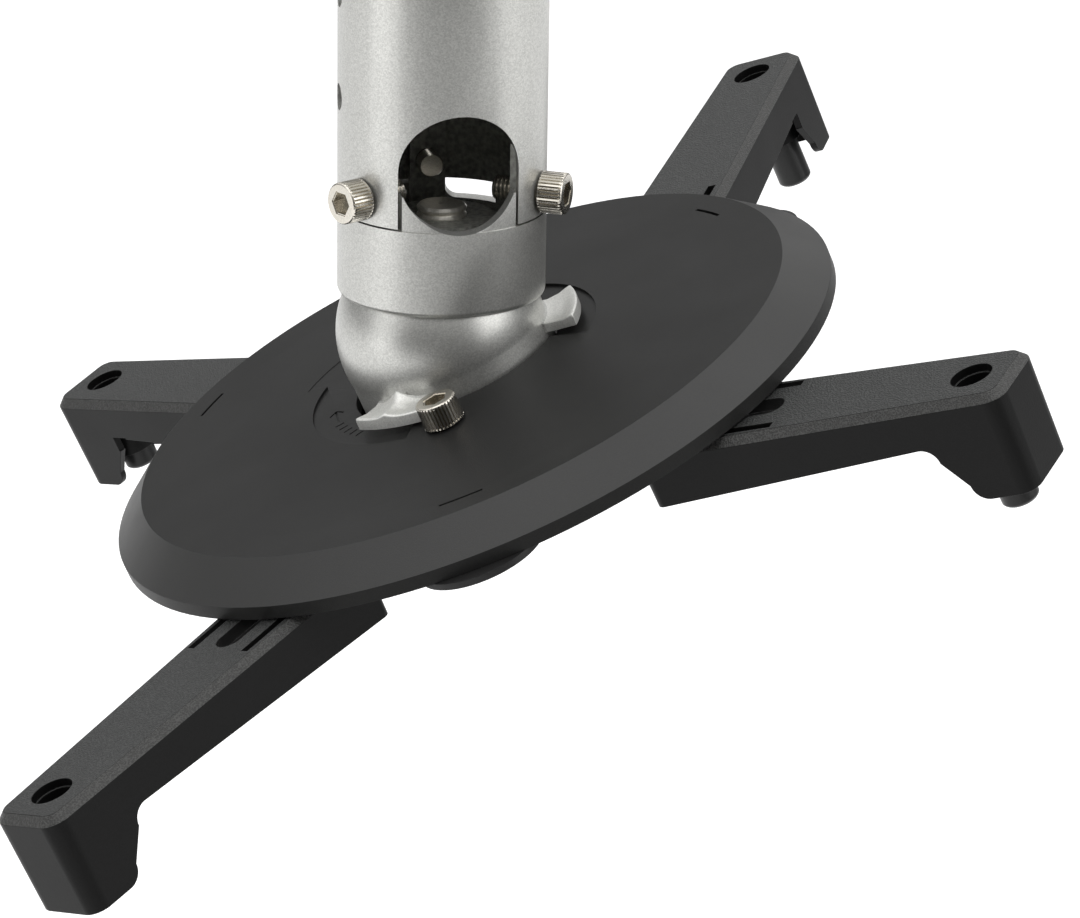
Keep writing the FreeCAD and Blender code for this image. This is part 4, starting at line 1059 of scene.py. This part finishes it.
@dataclass(frozen=True)
class Disc:
    """Disc cover with its engraved marks, and the base plate.

    The marks are an arrow and plain ticks in the recess beside the near lug.
    """

    recess_floor: float = -10.0 * MM
    arrow_radius: float = 31.5 * MM
    arrow_angle: float = 181.0
    arrow_shaft: float = 6.4 * MM
    arrow_head: float = 2.8 * MM
    shaft_shift: float = 7.0
    head_shift: float = 2.4
    head_turn: float = 50.0
    head_spread: float = 0.9 * MM
    tick_radius: float = 32.0 * MM
    tick_length: float = 2.4 * MM
    tick_step: float = 5.0
    first_row: float = 17.0
    second_row: float = 36.0
    second_shift: float = 1.5 * MM
    ticks: int = 5
    stroke: float = 0.5 * MM
    stroke_depth: float = 0.8 * MM
    crease: float = 83.7 * MM
    # Slopes of the bevel faces that get the painted highlight.
    lit_bevel_slope: tuple[float, float] = (0.5, 0.95)
    rounding: float = 0.25 * MM
    plate_rounding: float = 0.3 * MM

    def build(self) -> None:
        """Builds the cover and the base plate."""
        cover = copy_solid("disc_cover", "disc_cover_soft")
        soften(cover, self.rounding)
        engrave(cover, self._marks())
        frame_of_disc = LAYOUT.disc().inverted()
        axis = LAYOUT.axis()
        low, high = self.lit_bevel_slope
        # The outer bevel gets the lighter charcoal as painted highlight.
        paint(cover, CHARCOAL, (BEVEL, lambda middle, normal: low < normal.dot(axis) < high
                                and (frame_of_disc @ middle).xy.length > self.crease))
        stand_for(cover, "disc_cover")
        soft_copy("base_plate", self.plate_rounding, BLACK)

    def _marks(self) -> list[tuple[Matrix, Vector]]:
        """Places and sizes of the engraved strokes."""
        strokes = []

        def stroke(angle: float, radius: float, turn: float, length: float) -> None:
            """Adds one stroke; a turn of zero runs radially."""
            place = (LAYOUT.disc() @ turned(angle)
                     @ Matrix.Translation((radius, 0.0, self.recess_floor)) @ turned(turn))
            strokes.append((place, Vector((length, self.stroke, self.stroke_depth))))

        stroke(self.arrow_angle + self.shaft_shift, self.arrow_radius, 90.0, self.arrow_shaft)
        for side in (1.0, -1.0):
            stroke(self.arrow_angle + self.head_shift,
                   self.arrow_radius + side * self.head_spread,
                   side * self.head_turn, self.arrow_head)
        for number in range(self.ticks):
            turn = self.tick_step * number
            stroke(self.arrow_angle + self.first_row + turn, self.tick_radius, 0.0,
                   self.tick_length)
            stroke(self.arrow_angle - self.second_row - turn,
                   self.tick_radius + self.second_shift, 0.0, self.tick_length)
        return strokes


@dataclass(frozen=True)
class Arms:
    """The four arms with textured tops, smooth sides with painted shade, a painted highlight on
    the chamfer, and their spacers.
    """

    top_slope: float = 0.985
    lit_edge_slope: tuple[float, float] = (0.45, 0.8)
    rounding: float = 0.35 * MM
    spacer_rounding: float = 0.3 * MM

    def build(self) -> None:
        """Builds arms and spacers."""
        axis = LAYOUT.axis()
        low, high = self.lit_edge_slope
        for arm in ARMS:
            node = "arm_" + arm.name
            piece = copy_solid(node, node + "_soft")
            soften(piece, self.rounding, segments=3)
            # The sides and the rounding next to the top get painted shade, the chamfer a painted
            # highlight, the top its textured paint.
            paint(piece, ARM_SIDE_SHADE,
                  (ARM_TOP, lambda middle, normal: normal.dot(axis) > self.top_slope),
                  (ARM_EDGE_LIT, lambda middle, normal: low < normal.dot(axis) < high))
            stand_for(piece, node)
            soft_copy("spacer_" + arm.name, self.spacer_rounding, PLASTIC)


class NodeDresser:
    """Gives the solids that stay in the scene their finishes."""

    finishes = {
        "silver_paint": SILVER, "nickel": NICKEL, "bright_steel": STEEL, "liner_plastic": LINER,
        "charcoal_paint": CHARCOAL, "black_paint": BLACK, "arm_paint": ARM_TOP,
        "black_plastic": PLASTIC,
    }

    def dress(self) -> None:
        """Assigns a material to the slots of every solid."""
        slots = {item["node"]: item["material_slot"] for item in frame["record"]["subparts"]}
        for name, solid in frame["nodes"].items():
            finish = self.finishes[slots[name]]
            if not solid.material_slots:
                solid.data.materials.append(finish.material())
            for slot in solid.material_slots:
                slot.material = finish.material()
        log.info("solids: %d dressed", len(frame["nodes"]))


# studio

@dataclass(frozen=True)
class SoftBox:
    """A rectangular light that looks at the ball joint, in metres and watts."""

    name: str
    place: Place
    size: tuple[float, float]
    power: float
    aim: Place = (0.0, 0.0, -0.3)

    def build(self) -> None:
        """Adds the light."""
        data = bpy.data.lights.new(self.name, "AREA")
        data.shape = "RECTANGLE"
        data.size, data.size_y = self.size
        data.energy = self.power
        lamp = bpy.data.objects.new(self.name, data)
        bpy.context.scene.collection.objects.link(lamp)
        lamp.location = self.place
        view = Vector(self.aim) - Vector(self.place)
        lamp.rotation_euler = view.to_track_quat("-Z", "Y").to_euler()


@dataclass(frozen=True)
class Studio:
    """Pale floor, white surround, soft lights and the camera of the photograph."""

    floor_size: float = 14.0
    floor_place: Place = (0.0, 6.08, -0.62)
    floor_tone: float = 0.85
    floor_roughness: float = 0.9
    floor_glow: float = 0.69
    dark_side: tuple[float, Place] = (0.2, (0.29, 0.29, 0.286))
    bright_side: tuple[float, Place] = (0.75, (1.0, 1.0, 1.0))
    low_sky: tuple[float, float] = (0.2, 0.34)
    low_sky_share: float = 0.25
    lighting_strength: float = 0.35
    boxes: tuple[SoftBox, ...] = (
        SoftBox("left_box", (-1.35, -0.35, 0.05), (0.8, 1.3), 4.2),
        SoftBox("right_box", (1.1, -0.8, 0.2), (1.0, 1.2), 8.5),
        SoftBox("top_box", (-0.1, -0.4, 1.5), (3.2, 2.8), 40.0))
    camera_place: Place = (-0.2281, -1.1901, 0.0815)
    forward: Place = (0.1967, 0.9253, -0.3242)
    roll: float = 0.015
    lens: float = 175.97

    def build(self) -> None:
        """Builds the floor, the lights and the camera."""
        self._floor()
        self._world()
        for box in self.boxes:
            box.build()
        self._camera()

    def _white_to_rays(self, tree: bpy.types.NodeTree) -> bpy.types.NodeSocket:
        """Adds up the rays that see the white background: camera, glossy and transmission."""
        ray = tree.nodes.new("ShaderNodeLightPath")
        value = ray.outputs["Is Camera Ray"]
        for name in ("Is Glossy Ray", "Is Transmission Ray"):
            either = tree.nodes.new("ShaderNodeMath")
            either.operation = "MAXIMUM"
            tree.links.new(value, either.inputs[0])
            tree.links.new(ray.outputs[name], either.inputs[1])
            value = either.outputs["Value"]
        return value

    def _floor(self) -> None:
        """Adds a wide white floor well below the mount, which keeps its shadow."""
        bpy.ops.mesh.primitive_plane_add(size=self.floor_size, location=self.floor_place)
        floor = bpy.context.object
        floor.name = "floor"
        material = bpy.data.materials.new("floor_white")
        material.use_nodes = True
        tree = material.node_tree
        shader = tree.nodes["Principled BSDF"]
        shader.inputs["Base Color"].default_value = (*(self.floor_tone,) * 3, 1.0)
        shader.inputs["Roughness"].default_value = self.floor_roughness
        shader.inputs["Emission Color"].default_value = WHITE
        scale = tree.nodes.new("ShaderNodeMath")
        scale.operation = "MULTIPLY"
        scale.inputs[1].default_value = self.floor_glow
        tree.links.new(self._white_to_rays(tree), scale.inputs[0])
        tree.links.new(scale.outputs["Value"], shader.inputs["Emission Strength"])
        floor.data.materials.append(material)

    def _world(self) -> None:
        """Sets a surround that the camera sees white.

        As a light it is darker behind the camera and dim below the upper sky.
        """
        world = bpy.data.worlds.new("surround")
        bpy.context.scene.world = world
        world.use_nodes = True
        tree = world.node_tree
        pale = tree.nodes["Background"]
        place = tree.nodes.new("ShaderNodeTexCoord")
        split = tree.nodes.new("ShaderNodeSeparateXYZ")
        tree.links.new(place.outputs["Generated"], split.inputs["Vector"])
        depth = remap(tree, split.outputs["Y"], source=(-1.0, 1.0))
        tone = graded(tree, depth, (self.dark_side, self.bright_side), "EASE")
        rise = remap(tree, split.outputs["Z"], self.low_sky, (self.low_sky_share, 1.0))
        tree.links.new(scaled(tree, tone, rise), pale.inputs["Color"])
        strength = remap(tree, self._white_to_rays(tree), target=(self.lighting_strength, 1.0))
        tree.links.new(strength, pale.inputs["Strength"])
        white = tree.nodes.new("ShaderNodeBackground")
        white.inputs["Color"].default_value = WHITE
        ray = tree.nodes.new("ShaderNodeLightPath")
        mix = tree.nodes.new("ShaderNodeMixShader")
        tree.links.new(ray.outputs["Is Camera Ray"], mix.inputs["Fac"])
        tree.links.new(pale.outputs["Background"], mix.inputs[1])
        tree.links.new(white.outputs["Background"], mix.inputs[2])
        tree.links.new(mix.outputs["Shader"], tree.nodes["World Output"].inputs["Surface"])

    def _camera(self) -> None:
        """Stands the camera where the photograph was taken from."""
        forward = Vector(self.forward).normalized()
        right = forward.cross(Vector((0.0, 0.0, 1.0))).normalized()
        down = forward.cross(right)
        across = (right - down * self.roll).normalized()
        below = forward.cross(across)
        data = bpy.data.cameras.new("camera")
        data.lens = self.lens
        data.sensor_width = 36.0
        data.clip_start = 0.05
        data.clip_end = 50.0
        camera = bpy.data.objects.new("camera", data)
        bpy.context.scene.collection.objects.link(camera)
        turn = Matrix((across, -below, -forward)).transposed()
        camera.matrix_world = Matrix.Translation(Vector(self.camera_place)) @ turn.to_4x4()
        bpy.context.scene.camera = camera


def main() -> None:
    """Dresses the mount and sets up the studio."""
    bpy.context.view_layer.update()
    bpy.context.scene.view_settings.view_transform = "Standard"
    NodeDresser().dress()
    for screws in (pole_screws(), height_bolts(), socket_screws(), lock_screws(),
                   clamp_screws()):
        screws.build()
    ClampBolt().build()
    Pole().build()
    Foot().build()
    Disc().build()
    Arms().build()
    Studio().build()


if __name__ == "__main__":
    main()
